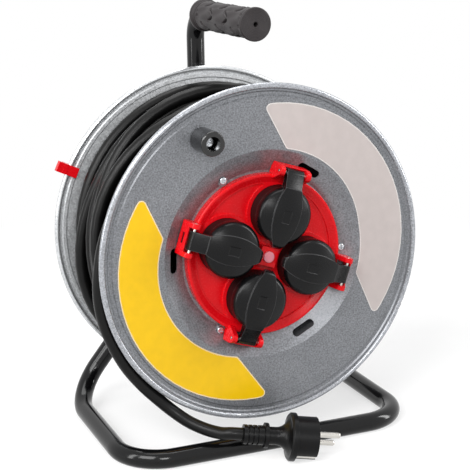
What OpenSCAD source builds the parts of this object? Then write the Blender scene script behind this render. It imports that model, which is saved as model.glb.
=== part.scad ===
// Steel extension cord reel on a bent-tube stand, with four lidded sockets in the drum's front face.
// Millimetres. +Z is up, the drum turns about Y, the sockets face -Y, and z = 0 is the floor.

/* [Drum] */
// Outer radius of both flanges, over the rolled rims
flange_r = 142.5; // [115:0.5:175]
// Distance between the two rims, middle to middle
drum_gap = 133; // [110:0.5:165]
// Gap between the flanges and the floor
floor_gap = 23; // [18:0.5:60]
// Radius of the rolled rim bead
bead_r = 2.5; // [2:0.1:3.5]
// Thickness of the flange sheet
sheet_t = 1.2; // [0.8:0.1:2]
// How far the middle of each flange is dished in
dish_depth = 8; // [6:0.25:10]
// Width of the dish's cone, from the socket plate's edge outwards
cone_w = 20; // [16:0.25:24]
// Wall of the steel barrel
barrel_t = 1; // [0.8:0.1:2]
// Thread radius of a tie bolt
tie_bolt_r = 2; // [1.5:0.1:2.2]
// Length of a flange slot, end to end
slot_len = 21; // [12:0.5:24]
// Width of a flange slot
slot_w = 6.5; // [4:0.5:7]
// Turn of the slots and tie bolts about the drum's axis
pattern_turn = -2.2; // [-5:0.1:3]

/* [Stand] */
// Diameter of the stand's tube
tube_d = 16; // [13:0.5:20]
// Wall of the stand's tube
tube_t = 1.5; // [1:0.1:2.5]
// Half the distance between the side bars, middle to middle
base_half_w = 127.5; // [105:0.5:155]
// Bend radius at the stand's corners
base_bend_r = 38; // [26:1:45]
// How far the front bar's middle lies in front of the front rim
bar_reach = 16.5; // [12:0.5:40]
// Gap between the rear rim's middle and the middle of the upright tube
upright_gap = 16.5; // [16:0.5:30]
// How far the handle's axis stands above the flanges
handle_rise = 45; // [35:0.5:90]
// Bend radius of the upright's top
handle_bend_r = 22; // [18:1:40]
// How far behind the front rim the grip ends
grip_inset = 13; // [5:1:40]
// Wall of the rubber grip
grip_wall = 4.5; // [3:0.25:8]

/* [Axle] */
// Radius of the fixed axle where the drum runs on it
axle_r = 7; // [6:0.25:8]
// Radius of the axle's threaded ends
axle_end_r = 5; // [4:0.25:5.5]
// Wall of the drum's hub tube
hub_tube_t = 2.95; // [2:0.05:4]

/* [Socket plate] */
// Height of the plate's rim in front of the flange
plate_rim_z = 1; // [0.5:0.25:3]
// Least gap between two neighbouring socket collars
socket_gap = 5.62; // [4:0.01:12]
// Turn of the socket pattern about the drum's axis
socket_turn = -18; // [-20:1:-16]
// Radius of the socket recess
recess_r = 19.6; // [16.5:0.1:24]
// Depth of the socket recess
recess_depth = 17.5; // [14.5:0.5:21]
// Wall of a socket's collar
collar_t = 3.4; // [2.5:0.1:5]
// Height of the collar's front edge in front of the flange
collar_z = 10.5; // [8.5:0.25:13]
// Distance between the two pins of a plug
pin_pitch = 19; // [19:1:19]
// Side of the square boss round the reset button
boss_w = 16; // [13:0.5:18]
// Radius of the reset button
button_r = 4.75; // [3.5:0.25:5.5]
// Travel of the reset button
button_travel = 2; // [1:0.25:2.5]

/* [Lids] */
// How far a lid's edge stands out past the collar
lid_lap = 0.8; // [0.4:0.1:1.6]
// Height of a lid's crown above the collar
lid_rise = 10; // [8:0.25:14]
// Wall of a lid
lid_t = 2; // [1.5:0.1:2.5]
// Radius of a hinge pin
hinge_pin_r = 1.2; // [1:0.05:1.45]
// Width of a lid's knuckle
knuckle_w = 15; // [12:0.5:17]
// Radius of a lid's knuckle
knuckle_r = 3.4; // [2.8:0.1:3.6]
// Thickness of a hinge ear
ear_t = 4; // [3:0.25:5]
// Bare pin that shows between an ear and the knuckle
ear_gap = 2.5; // [1:0.25:3]

/* [Crank knob] */
// Distance of the knob's middle from the flange's edge
knob_inset = 28; // [24:0.5:32]
// Angle of the knob round the drum's axis
knob_turn = 118; // [110:1:125]
// Radius of the knob
knob_r = 10; // [8.25:0.25:12]
// How far the knob's end stands in front of the front rim
knob_reach = 26; // [20:0.5:32]
// Radius of the knob's open bore
knob_bore_r = 5.75; // [5.25:0.25:6.5]
// Radius of the knob's screw
knob_screw_r = 2.5; // [2:0.1:3]

/* [Cord] */
// Diameter of the cord
cord_d = 10.5; // [8.5:0.25:13]
// Distance of the outer turns' middle from the flange's edge
wind_depth = 18.5; // [16:0.5:24]

/* [Plug] */
// Radius of the plug's round flange
plug_flange_r = 20; // [19:0.25:24]
// Radius of the plug's body
plug_body_r = 17.5; // [16.5:0.25:18.5]
// Length of the plug's body in front of its flange
plug_body_len = 18; // [16:0.5:20]
// Length of a plug pin outside the body
pin_len = 19; // [17:0.5:19]
// Radius of a plug pin
pin_r = 2.4; // [2:0.1:2.4]

/* [Hidden] */
$fn = 96;
// Clearances: between solids of different bodies, between fitted solids, and on a running shaft
gap = 0.3;
fit = 0.05;
tiny = 0.01;

// Sizes of the grip and the hub tube that follow from the tube and the axle
grip_r = tube_d / 2 + grip_wall;
grip_collar_r = grip_r + 1.7;
grip_flange_r = grip_r + 1.3;
bush_t = 3;
hub_tube_r = axle_r + fit + bush_t + hub_tube_t;

// The socket unit sets the size of the dish, and the flange that of everything outside it.
// The ring of sockets is rounded to a twentieth of a millimetre
collar_r = recess_r + collar_t;
socket_ring_r = round((collar_r + socket_gap / 2) * sqrt(2) / 0.05) * 0.05;
plate_r = socket_ring_r + collar_r + 8.5;
dish_floor_r = plate_r + 2;
dish_r = plate_r + min(cone_w, 0.27 * (flange_r - plate_r));
barrel_r = dish_r - 4;
tie_r = plate_r + 4.8;
slot_ring_r = barrel_r - 5.3;
knob_ring_r = flange_r - knob_inset;
hub_z = flange_r + floor_gap;
handle_z = hub_z + flange_r + handle_rise;

// Y of the front rim's middle: the object's front and back lie the same distance from y = 0
axle_tail = tube_d / 2 + 7.4;
front_y = -(drum_gap + upright_gap + axle_tail - knob_reach) / 2;
upright_y = front_y + drum_gap + upright_gap;
bar_y = front_y - bar_reach;
floor_z = tube_d / 2;

// Drum frame: z = 0 at the front rim's middle, growing towards the viewer
rear_z = -drum_gap;
face_z = sheet_t / 2;
rim_r = flange_r - bead_r;
groove_r = rim_r - 6.2;
plate_seat_z = face_z - dish_depth;
dish_back_z = -face_z - dish_depth;
// Height of the flange's front face on the dish's cone at radius r
function cone_z(r) = face_z - dish_depth * (dish_r - max(r, dish_floor_r)) / (dish_r - dish_floor_r);
tie_pad_r = 3.6;
tie_pad_z = cone_z(tie_r);
window_r = plate_r - 4.2;
plate_face_z = plate_rim_z - 2;
plate_back_z = plate_face_z - 3;
spigot_r = window_r - 0.4;
spigot_end_z = dish_back_z - 3.4;
recess_floor_z = collar_z - recess_depth;
socket_back_z = recess_floor_z - 3;
chamber_back_z = socket_back_z - 17;
collar_flange_r = collar_r + 1.4;
housing_wall_t = 2.5;
housing_z = chamber_back_z - 25;
post_ring_r = plate_r - 16;
post_turn = socket_turn + 45;
boss_z = 8;
button_top_z = boss_z + 1.6;
lid_r = collar_r + lid_lap;
lid_top_z = collar_z + lid_rise;
hinge_x = plate_r + 3.5 - socket_ring_r;
hinge_z = collar_z + 0.5;
ear_in = knuckle_w / 2 + ear_gap;
ear_out = ear_in + ear_t;
tie_head_r = 3.1;
tie_back_z = rear_z - tie_pad_z;

// Inside of the barrel
hub_end_z = housing_z - housing_wall_t - 23.9;
hub_plate_t = 2.5;
hub_plate_r = 28;
hub_plate_z = rear_z + dish_depth - face_z - hub_plate_t;
bush_lip_t = 2;
bush_len = min(18, (hub_end_z - hub_plate_z) / 2 - 3);
lead_r = barrel_r / 2 - 2;
lead_turn = socket_turn + 180;
lead_in_z = rear_z + 23;
lead_bend_r = min(lead_r, housing_z - housing_wall_t - 9 - lead_in_z);
lead_z = lead_in_z + lead_bend_r;
upright_front_z = -(drum_gap + upright_gap - tube_d / 2);
upright_back_z = upright_front_z - tube_d;

// The last turn lies beside the front flange and opens out to where the cord leaves it
wind_r = flange_r - wind_depth;
lane_y = bead_r + 0.75 + cord_d / 2;
last_r0 = wind_r;
last_r1 = wind_r + 6;
last_from = 175 - 360;
last_to = 135;
last_rings = 20;
cord_sides = 8;

// Outer turns on the drum: the first and last half turns dip one layer, clear of both flanges
wind_first = lane_y + 0.676 * cord_d;
wind_last = drum_gap - 1.15 - cord_d / 2;
wind_turns = floor((wind_last - wind_first) / (cord_d + 0.55));
wind_pitch = (wind_last - wind_first) / wind_turns;
wind_rings = 24;
wind_sides = 6;
dip = cord_d;
core_r = wind_r * cos(180 / wind_rings) - cord_d / 2 - 0.6;
core_low_r = core_r - dip + 0.2;
core_step = wind_pitch / 2 + cord_d / 2 + 0.5;

// Plug's place: it lies on the floor on its flange and on the edge of its face
plug_flange_t = 5;
plug_tilt = atan((plug_flange_r - plug_body_r) / plug_body_len);
plug_turn = -14;
plug_roll = 49;
plug_tail = -40.5;
plug_x = 3;
plug_y = bar_y - tube_d / 2 - plug_flange_r + 1;
plug_z = plug_flange_r * cos(plug_tilt) + plug_flange_t / 2 * sin(plug_tilt);

// Free cord from the last turn to the plug: x, distance in front of the last turn's plane, z.
// It is drawn for a drum of this radius at this height, and stretched to any other
route_flange_r = 142.5;
route_hub_z = 165.5;
route = [
    [-113, 0, 232], [-125.5, 0, 211], [-134.5, 0, 189], [-139, 0, 167.5], [-140.5, 0, 145.5],
    [-137.5, 0, 123.5], [-130, 0, 102], [-119.5, 0, 82], [-106, 0.5, 64], [-93, 2.5, 50],
    [-82, 7, 39.5], [-72, 14.5, 32], [-61.5, 24, 27.5], [-52, 33.5, 26]
];
route_kx = flange_r / route_flange_r;
route_kz = hub_z / route_hub_z;

// ---------- Shared shapes ----------

// Puts its children in the drum frame
module drum() {
    translate([0, front_y, hub_z])
        rotate([90, 0, 0])
            children();
}

// Puts its children at radius r and angle a on the drum, with +X pointing outwards
module on_drum(r, a) {
    drum()
        rotate([0, 0, a])
            translate([r, 0, 0])
                children();
}

module at_socket(i) {
    on_drum(socket_ring_r, socket_turn + 90 * i)
        children();
}

// Ring between two radii and two heights
module ring(r_in, r_out, z_low, z_high) {
    rotate_extrude()
        translate([r_in, z_low])
            square([r_out - r_in, z_high - z_low]);
}

module disc(r, z_low, z_high) {
    translate([0, 0, z_low])
        cylinder(r = r, h = z_high - z_low);
}

// Straight rod along +Z whose ends are turned round by a quarter circle of radius e
module round_rod(r, z_low, z_high, e) {
    rotate_extrude()
        polygon(concat(
            [[0, z_low]],
            [for (k = [0:6]) [r - e + e * sin(15 * k), z_low + e - e * cos(15 * k)]],
            [for (k = [6:-1:0]) [r - e + e * sin(15 * k), z_high - e + e * cos(15 * k)]],
            [[0, z_high]]
        ));
}

// Quarter bend from +Y towards +X, centred on the bend's centre
module bend(bend_r, r) {
    rotate([0, 0, 90])
        rotate_extrude(angle = 90)
            translate([bend_r, 0])
                circle(r = r);
}

// ---------- Stand ----------

leg_angle = atan((hub_z - floor_z) / base_half_w);
leg_len = norm([base_half_w, hub_z - floor_z]);

// One half of the base: half the front bar, a side bar, a leg and the two bends between them
module base_half(r) {
    front_straight = base_half_w - base_bend_r;
    side_straight = upright_y - bar_y - 2 * base_bend_r;
    translate([-front_straight, bar_y, floor_z])
        rotate([0, 90, 0])
            cylinder(r = r, h = front_straight + tiny);
    translate([-front_straight, bar_y + base_bend_r, floor_z])
        rotate([0, 0, 90])
            bend(base_bend_r, r);
    translate([-base_half_w, bar_y + base_bend_r - tiny, floor_z])
        rotate([-90, 0, 0])
            cylinder(r = r, h = side_straight + 2 * tiny);
    translate([-base_half_w, upright_y, floor_z])
        rotate([0, -leg_angle, 0]) {
            translate([base_bend_r, -base_bend_r, 0])
                bend(base_bend_r, r);
            translate([base_bend_r, 0, 0])
                rotate([0, 90, 0])
                    cylinder(r = r, h = leg_len - base_bend_r);
        }
}

module base_tube() {
    color("#161616")
        difference() {
            union() {
                base_half(tube_d / 2);
                mirror([1, 0, 0])
                    base_half(tube_d / 2);
            }
            base_half(tube_d / 2 - tube_t);
            mirror([1, 0, 0])
                base_half(tube_d / 2 - tube_t);
            translate([0, upright_y, hub_z - 60])
                cylinder(r = tube_d / 2 + gap, h = 120);
            translate([-axle_end_r - gap, upright_y - tube_d, hub_z - 60])
                cube([2 * (axle_end_r + gap), 2 * tube_d, 120]);
        }
}

// Upright, its top bend and the straight part inside the grip
module handle_run(r) {
    foot_z = hub_z - 28;
    translate([0, upright_y, foot_z])
        cylinder(r = r, h = handle_z - handle_bend_r - foot_z);
    translate([0, upright_y - handle_bend_r, handle_z - handle_bend_r - tiny])
        rotate([0, -90, 0])
            rotate_extrude(angle = 90)
                translate([handle_bend_r, 0])
                    circle(r = r);
    translate([0, upright_y - handle_bend_r, handle_z])
        rotate([90, 0, 0])
            cylinder(r = r, h = upright_y - handle_bend_r - front_y - grip_inset - 3.4);
}

module handle_tube() {
    color("#161616")
        difference() {
            handle_run(tube_d / 2);
            handle_run(tube_d / 2 - tube_t);
            translate([0, upright_y + tube_d, hub_z])
                rotate([90, 0, 0])
                    cylinder(r = axle_end_r + fit, h = 2 * tube_d);
        }
}

// Rubber grip: collar behind the hand, front flange with a small vent hole
module grip() {
    grip_len = upright_y - handle_bend_r - front_y - grip_inset - 0.4;
    color("#3a3637")
        translate([0, front_y + grip_inset, handle_z])
            rotate([-90, 0, 0])
                difference() {
                    union() {
                        disc(grip_r, 1.5, grip_len - 2);
                        round_rod(grip_flange_r, 0, 3.2, 1);
                        round_rod(grip_collar_r, grip_len - 5.5, grip_len, 1.2);
                    }
                    disc(tube_d / 2 + fit, 3, grip_len + 1);
                    disc(1.75, -1, 4);
                }
}

module axle() {
    color("#b8bcc0")
        drum() {
            disc(axle_r, upright_front_z, hub_end_z + bush_lip_t + 0.4);
            disc(axle_end_r, upright_back_z - 7.4, upright_front_z + 1);
            disc(axle_end_r, hub_end_z, hub_end_z + bush_lip_t + 11);
        }
}

module axle_spacer() {
    color("#a9adb1")
        drum()
            ring(axle_r + fit, axle_r + 4, upright_front_z, hub_plate_z - bush_lip_t - gap);
}

module axle_washers() {
    color("#b8bcc0")
        drum() {
            ring(axle_end_r + fit, axle_end_r + 5.5, upright_back_z - 2, upright_back_z);
            ring(axle_end_r + fit, axle_end_r + 5.5, hub_end_z + bush_lip_t + 0.45, hub_end_z + bush_lip_t + 2.4);
        }
}

module hex_nut(across, r_in, z_low, z_high) {
    difference() {
        translate([0, 0, z_low])
            cylinder(d = across / cos(30), h = z_high - z_low, $fn = 6);
        disc(r_in, z_low - 1, z_high + 1);
    }
}

module axle_nuts() {
    color("#b8bcc0")
        drum() {
            hex_nut(16, axle_end_r + tiny, upright_back_z - 7, upright_back_z - 2);
            hex_nut(16, axle_end_r + tiny, hub_end_z + bush_lip_t + 2.45, hub_end_z + bush_lip_t + 8);
        }
}

// ---------- Steel drum ----------

// Half section of the pressed flange: dish, cone, flat ring and stiffening groove, front face up
function flange_front() = [
    [dish_floor_r, -dish_depth], [dish_r, 0], [groove_r - 2.3, 0], [groove_r - 1.3, -1],
    [groove_r + 1.3, -1], [groove_r + 2.3, 0], [rim_r, 0]
];
function reversed(v) = [for (i = [len(v) - 1:-1:0]) v[i]];

module flange_section(hole_r) {
    polygon(concat(
        [[hole_r, -dish_depth + face_z]],
        [for (p = flange_front()) [p[0], p[1] + face_z]],
        [for (p = reversed(flange_front())) [p[0], p[1] - face_z]],
        [[hole_r, -dish_depth - face_z]]
    ));
}

// One flange, front face up, with its tie-bolt holes and slots; turn sets where they lie
module flange(hole_r, turn) {
    difference() {
        union() {
            rotate_extrude()
                flange_section(hole_r);
            rotate_extrude()
                translate([rim_r, 0])
                    circle(r = bead_r);
            for (a = [0:120:240])
                rotate([0, 0, turn + a])
                    tie_pad();
        }
        for (a = [0:120:240])
            rotate([0, 0, turn + a])
                translate([tie_r, 0, 0]) {
                    disc(tie_bolt_r + 0.1, -20, 20);
                    disc(tie_pad_r, tie_pad_z, 20);
                }
        for (a = [60:120:300])
            rotate([0, 0, turn + a])
                translate([slot_ring_r, 0, 0])
                    slot();
    }
}

// Flat seat of a tie bolt, pressed into the cone: its outer half is sunk and its inner half raised
module tie_pad() {
    cover = 0.3;
    under = tie_pad_z - 1.8;
    translate([tie_r, 0, 0])
        disc(tie_pad_r + 1, under, tie_pad_z + 0.05);
    intersection() {
        translate([tie_r, 0, 0])
            disc(tie_pad_r + 1, under, 0);
        rotate_extrude()
            polygon([
                [dish_floor_r - 3, under - 5], [dish_floor_r - 3, plate_seat_z - cover],
                [dish_floor_r, plate_seat_z - cover], [dish_r, face_z - cover], [dish_r, under - 5]
            ]);
    }
}

module slot() {
    run = slot_len - slot_w;
    for (s = [-1, 1])
        translate([0, s * run / 2, 0])
            disc(slot_w / 2, -10, 10);
    translate([-slot_w / 2, -run / 2, -10])
        cube([slot_w, run, 20]);
}

module front_flange() {
    color("#9aa0a6")
        drum()
            difference() {
                flange(window_r, pattern_turn);
                rotate([0, 0, knob_turn])
                    translate([knob_ring_r, 0, 0])
                        disc(knob_screw_r + 0.1, -5, 5);
            }
}

module rear_flange() {
    color("#9aa0a6")
        drum()
            translate([0, 0, rear_z])
                rotate([180, 0, 0])
                    difference() {
                        flange(hub_tube_r + 0.2, -pattern_turn);
                        for (a = [45:90:315])
                            rotate([0, 0, a])
                                translate([hub_plate_r - 7, 0, 0])
                                    disc(2.1, -10, 10);
                    }
}

// Distance of a flange's inner face from its rim's middle at radius r on the cone, plus the seam's gap
function barrel_end(r) = face_z + dish_depth * (dish_r - r) / (dish_r - dish_floor_r) + gap;

module barrel() {
    end = barrel_end(barrel_r - barrel_t);
    color("#8f959b")
        drum()
            difference() {
                ring(barrel_r - barrel_t, barrel_r, rear_z + end, -end);
                rotate([0, 0, lead_turn])
                    translate([barrel_r, 0, lead_in_z])
                        rotate([0, 90, 0])
                            disc(cord_d / 2 + 1.75, -10, 10);
            }
}

// Hub: a round plate on the rear flange with a tube that reaches into the drum
module drum_hub() {
    plate_front = hub_plate_z + hub_plate_t;
    color("#8f959b")
        drum()
            difference() {
                union() {
                    disc(hub_plate_r, hub_plate_z, plate_front);
                    disc(hub_tube_r, hub_plate_z, hub_end_z);
                }
                disc(axle_r + fit + bush_t, hub_plate_z - 1, hub_end_z + 1);
                for (a = [45:90:315])
                    rotate([0, 0, a])
                        translate([hub_plate_r - 7, 0, 0])
                            disc(2.1, hub_plate_z - 1, plate_front + 1);
            }
}

module hub_rivets() {
    in_z = rear_z + dish_depth + face_z;
    color("#b8bcc0")
        for (a = [45:90:315])
            on_drum(hub_plate_r - 7, -a) {
                disc(2, hub_plate_z - 0.5, in_z + 0.5);
                disc(4, hub_plate_z - 2, hub_plate_z);
                disc(4, in_z, in_z + 1.8);
            }
}

// Two flanged nylon bushes, one in each end of the hub tube
module bush(mouth_z, out) {
    body = out > 0 ? [mouth_z - bush_len, mouth_z] : [mouth_z, mouth_z + bush_len];
    lip = out > 0 ? [mouth_z, mouth_z + bush_lip_t] : [mouth_z - bush_lip_t, mouth_z];
    difference() {
        union() {
            disc(axle_r + bush_t + fit - 0.02, body[0], body[1]);
            disc(hub_tube_r + 1, lip[0], lip[1]);
        }
        disc(axle_r + fit, mouth_z - 40, mouth_z + 40);
    }
}

module hub_bushes() {
    color("#e8e4d8")
        drum() {
            bush(hub_end_z, 1);
            bush(hub_plate_z, -1);
        }
}

// Long bolts through both flanges, inside the barrel, that clamp the drum together
module tie_bolts() {
    color("#c3c7cb")
        for (a = [0:120:240])
            on_drum(tie_r, pattern_turn + a)
                difference() {
                    union() {
                        disc(tie_bolt_r, tie_back_z - 4.4, tie_pad_z + 1);
                        round_rod(tie_head_r, tie_pad_z, tie_pad_z + 2.4, 0.9);
                    }
                    for (t = [0, 90])
                        rotate([0, 0, t])
                            translate([-2, -0.35, tie_pad_z + 1.4])
                                cube([4, 0.7, 2]);
                }
}

module tie_nuts() {
    color("#b8bcc0")
        for (a = [0:120:240])
            on_drum(tie_r, pattern_turn + a)
                hex_nut(5.8, tie_bolt_r + tiny, tie_back_z - 3.4, tie_back_z);
}

// ---------- Socket unit ----------

// Height of an ear's foot above the cone, at x outwards from the socket
function ear_foot(x) = cone_z(norm([x + socket_ring_r, ear_out])) + 0.5;

// Side view of a hinge ear, x outwards from the socket and y towards the viewer
module ear_outline() {
    translate([hinge_x, hinge_z])
        circle(r = 4.2);
    polygon([
        [hinge_x - 8, plate_face_z - 1], [hinge_x - 8, plate_face_z + 4], [hinge_x - 3.4, hinge_z + 2.4],
        [hinge_x + 4, hinge_z + 1], [hinge_x + 5, hinge_z - 2], [hinge_x + 5.8, ear_foot(hinge_x + 5.8)],
        [hinge_x + 1, ear_foot(hinge_x + 1)], [hinge_x - 4.6, plate_seat_z + 1.2], [hinge_x - 4.6, plate_face_z - 1]
    ]);
}

module hinge_mount() {
    difference() {
        union() {
            for (s = [ear_in, -ear_out])
                translate([0, s + ear_t, 0])
                    rotate([90, 0, 0])
                        linear_extrude(ear_t)
                            ear_outline();
            translate([0, ear_out, 0])
                rotate([90, 0, 0])
                    linear_extrude(2 * ear_out)
                        polygon([
                            [hinge_x + 3.8, hinge_z - 1.6], [hinge_x + 4.9, hinge_z - 1.6],
                            [hinge_x + 5.8, ear_foot(hinge_x + 5.8)], [hinge_x + 4.4, ear_foot(hinge_x + 4.4)]
                        ]);
        }
        translate([hinge_x + 2, -4.5, 0.5])
            cube([8, 9, 4.5]);
        translate([hinge_x, 20, hinge_z])
            rotate([90, 0, 0])
                cylinder(r = hinge_pin_r + tiny, h = 40);
    }
}

// Sunk panel between two sockets, bounded by the rim and the two collars
module petal(depth) {
    translate([0, 0, plate_face_z - depth])
        linear_extrude(depth + 1)
            difference() {
                intersection() {
                    circle(r = plate_r - 8);
                    rotate(45)
                        translate([12, -30])
                            square([60, 60]);
                    rotate(45)
                        polygon([[12, 0], [70, -38], [70, 38]]);
                }
                circle(r = 21);
                for (a = [0, 90])
                    rotate(a)
                        translate([socket_ring_r, 0])
                            circle(r = collar_r + 3.4);
            }
}

module socket_plate() {
    color("#d8141c")
        drum()
            difference() {
                union() {
                    rotate_extrude()
                        polygon([
                            [0, plate_back_z], [spigot_r - 2.3, plate_back_z], [spigot_r - 2.3, spigot_end_z],
                            [spigot_r, spigot_end_z], [spigot_r, plate_seat_z], [plate_r, plate_seat_z],
                            [plate_r, plate_rim_z - 0.6], [plate_r - 0.6, plate_rim_z], [plate_r - 2.2, plate_rim_z],
                            [plate_r - 7, plate_face_z], [0, plate_face_z]
                        ]);
                    rotate([0, 0, socket_turn])
                        translate([-boss_w / 2, -boss_w / 2, plate_back_z])
                            cube([boss_w, boss_w, boss_z - plate_back_z]);
                    for (i = [0:3])
                        rotate([0, 0, socket_turn + 90 * i])
                            translate([socket_ring_r, 0, 0])
                                hinge_mount();
                    for (i = [0:3])
                        rotate([0, 0, post_turn + 90 * i])
                            translate([post_ring_r, 0, 0])
                                disc(4, plate_back_z - 11.5, plate_back_z + 1);
                }
                for (i = [0:3])
                    rotate([0, 0, socket_turn + 90 * i]) {
                        translate([socket_ring_r, 0, 0])
                            disc(collar_r + 0.2, -20, 20);
                        petal(1.2);
                    }
                for (i = [0:3])
                    rotate([0, 0, post_turn + 90 * i])
                        translate([post_ring_r, 0, 0])
                            disc(1.5, plate_back_z - 20, plate_back_z - 1);
                disc(button_r + 0.25, -20, 20);
            }
}

// Cup behind the flange that closes the socket unit
module socket_housing() {
    lip_z = dish_back_z - gap;
    color("#2a2a2c")
        drum()
            difference() {
                union() {
                    ring(window_r + 0.1, window_r + 5, spigot_end_z - gap - 2, lip_z);
                    ring(spigot_r - housing_wall_t, window_r + 5, spigot_end_z - gap - 2, spigot_end_z - gap);
                    ring(spigot_r - housing_wall_t, spigot_r, housing_z - housing_wall_t, spigot_end_z - gap);
                    disc(spigot_r - 1, housing_z - housing_wall_t, housing_z);
                    for (i = [0:3])
                        rotate([0, 0, post_turn + 90 * i])
                            translate([post_ring_r, 0, 0])
                                disc(4, housing_z - 1, plate_back_z - 11.5 - gap);
                }
                for (i = [0:3])
                    rotate([0, 0, post_turn + 90 * i])
                        translate([post_ring_r, 0, 0])
                            disc(1.9, housing_z - 10, 0);
                rotate([0, 0, lead_turn])
                    translate([lead_r, 0, 0])
                        disc(cord_d / 2 + 4, housing_z - 10, housing_z + 10);
            }
}

module housing_screws() {
    under = housing_z - housing_wall_t;
    color("#c3c7cb")
        for (i = [0:3])
            on_drum(post_ring_r, post_turn + 90 * i) {
                disc(1.45, under - 1, plate_back_z - 3);
                round_rod(3.6, under - 2.4, under, 0.8);
            }
}

module socket(i) {
    color("#1d1d1f")
        at_socket(i)
            difference() {
                union() {
                    disc(collar_r, socket_back_z, collar_z);
                    disc(collar_flange_r, plate_back_z - gap - 2.5, plate_back_z - gap);
                    disc(15, chamber_back_z, socket_back_z + 1);
                }
                disc(recess_r, recess_floor_z, collar_z + 1);
                for (s = [-1, 1]) {
                    translate([0, s * pin_pitch / 2, 0]) {
                        disc(2.75, socket_back_z - 2, recess_floor_z + 1);
                        disc(3.5, chamber_back_z - 1, socket_back_z - 1);
                    }
                    translate([s * (recess_r - 1) - 2.4, -2.5, recess_floor_z - 1])
                        cube([4.8, 5, 13]);
                }
            }
}

module contact_sleeves() {
    color("#c9a24b")
        for (i = [0:3])
            for (s = [-1, 1])
                at_socket(i)
                    translate([0, s * pin_pitch / 2, 0])
                        ring(2.6, 3.4, chamber_back_z + 1, socket_back_z - 1.2);
}

module earth_clips() {
    color("#c9a24b")
        for (i = [0:3])
            for (s = [-1, 1])
                at_socket(i)
                    translate([s * (recess_r + 0.75) - 0.4, -2.2, recess_floor_z - 0.8])
                        cube([0.8, 4.4, 12.2]);
}

// ---------- Lids ----------

// Half section of a lid's crown, grown by g: straight side, rounded shoulder and a low dome
module crown_section(r, top_z, g) {
    crown = 1.4;
    low = collar_z + gap;
    edge = top_z + g - crown;
    shoulder = min(4, edge - low - 0.2);
    polygon([
        [0, low], [r + g, low], [r + g, edge - shoulder], [r + g - shoulder, edge - shoulder],
        [r + g - shoulder, edge], [6, edge + crown], [0, edge + crown]
    ]);
    translate([r + g - shoulder, edge - shoulder])
        circle(r = shoulder);
}

module crown(r, top_z, g) {
    rotate_extrude()
        intersection() {
            crown_section(r, top_z, g);
            square(60);
        }
}

// Outline of the raised band that runs from the hinge to the finger tab
module band_outline() {
    intersection() {
        translate([-lid_r - 3.4, -12.5])
            square([2 * lid_r + 3, 25]);
        for (s = [0, 1])
            mirror([0, s])
                intersection_for(k = [0, 1])
                    mirror([0, k])
                        translate([2, -42])
                            circle(r = 54, $fn = 160);
    }
}

module lid(i) {
    color("#1b1b1d")
        at_socket(i)
            difference() {
                union() {
                    crown(lid_r, lid_top_z - 0.9, 0);
                    intersection() {
                        crown(lid_r + 3.4, lid_top_z, 0);
                        translate([0, 0, lid_top_z - 6.5])
                            linear_extrude(10)
                                band_outline();
                    }
                    lid_arm();
                }
                crown(lid_r - lid_t, lid_top_z - 0.9 - lid_t, 0);
                disc(lid_r - lid_t, 0, collar_z + 2);
                translate([hinge_x, knuckle_w, hinge_z])
                    rotate([90, 0, 0])
                        cylinder(r = hinge_pin_r + fit, h = 2 * knuckle_w);
            }
}

// Arm from the lid's edge to its knuckle
module lid_arm() {
    translate([0, knuckle_w / 2, 0])
        rotate([90, 0, 0])
            linear_extrude(knuckle_w)
                union() {
                    polygon([
                        [lid_r - 3, collar_z + gap], [hinge_x - 5, collar_z + gap], [hinge_x, hinge_z - knuckle_r],
                        [hinge_x, hinge_z + knuckle_r], [hinge_x - 5, hinge_z + 5], [lid_r, lid_top_z - 2.4],
                        [lid_r - 3, lid_top_z - 1.6]
                    ]);
                    translate([hinge_x, hinge_z])
                        circle(r = knuckle_r);
                }
}

module lid_pins() {
    color("#d0d3d6")
        for (i = [0:3])
            at_socket(i)
                translate([hinge_x, ear_out + 0.2, hinge_z])
                    rotate([90, 0, 0])
                        cylinder(r = hinge_pin_r, h = 2 * ear_out + 0.4);
}

// ---------- Button and what it works ----------

module reset_button() {
    color("#f5a9b8")
        drum() {
            round_rod(button_r, -4.2, button_top_z, 0.8);
            disc(button_r + 1.5, -5.2, -4);
        }
}

module thermal_cutout() {
    color("#3a3a3e")
        drum() {
            disc(9, -30, -5.2 - button_travel - gap);
            ring(7, 9, -5.2 - button_travel - gap - 1, plate_back_z - gap);
        }
}

module terminal_block() {
    color("#e8e4d8")
        drum()
            translate([-15, -10, housing_z])
                cube([30, 20, 11]);
}

// ---------- Crank knob ----------

module crank_knob() {
    low = face_z + gap;
    floor_top = 12;
    color("#1b1b1d")
        on_drum(knob_ring_r, knob_turn)
            difference() {
                round_rod(knob_r, low, knob_reach, 1.2);
                disc(knob_bore_r, floor_top, knob_reach + 1);
                disc(knob_screw_r + fit, -1, floor_top + 1);
            }
}

module knob_screw() {
    color("#d8dbde")
        on_drum(knob_ring_r, knob_turn)
            difference() {
                union() {
                    disc(knob_screw_r, -5.4, 13);
                    round_rod(knob_bore_r - 0.9, 12 + gap, 12 + gap + 3.4, 1.4);
                }
                for (t = [0, 90])
                    rotate([0, 0, t])
                        translate([-2.4, -0.45, 14.4])
                            cube([4.8, 0.9, 3]);
            }
}

module knob_nut() {
    color("#b8bcc0")
        on_drum(knob_ring_r, knob_turn)
            hex_nut(7.6, knob_screw_r + tiny, -face_z - 3.6, -face_z);
}

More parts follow.
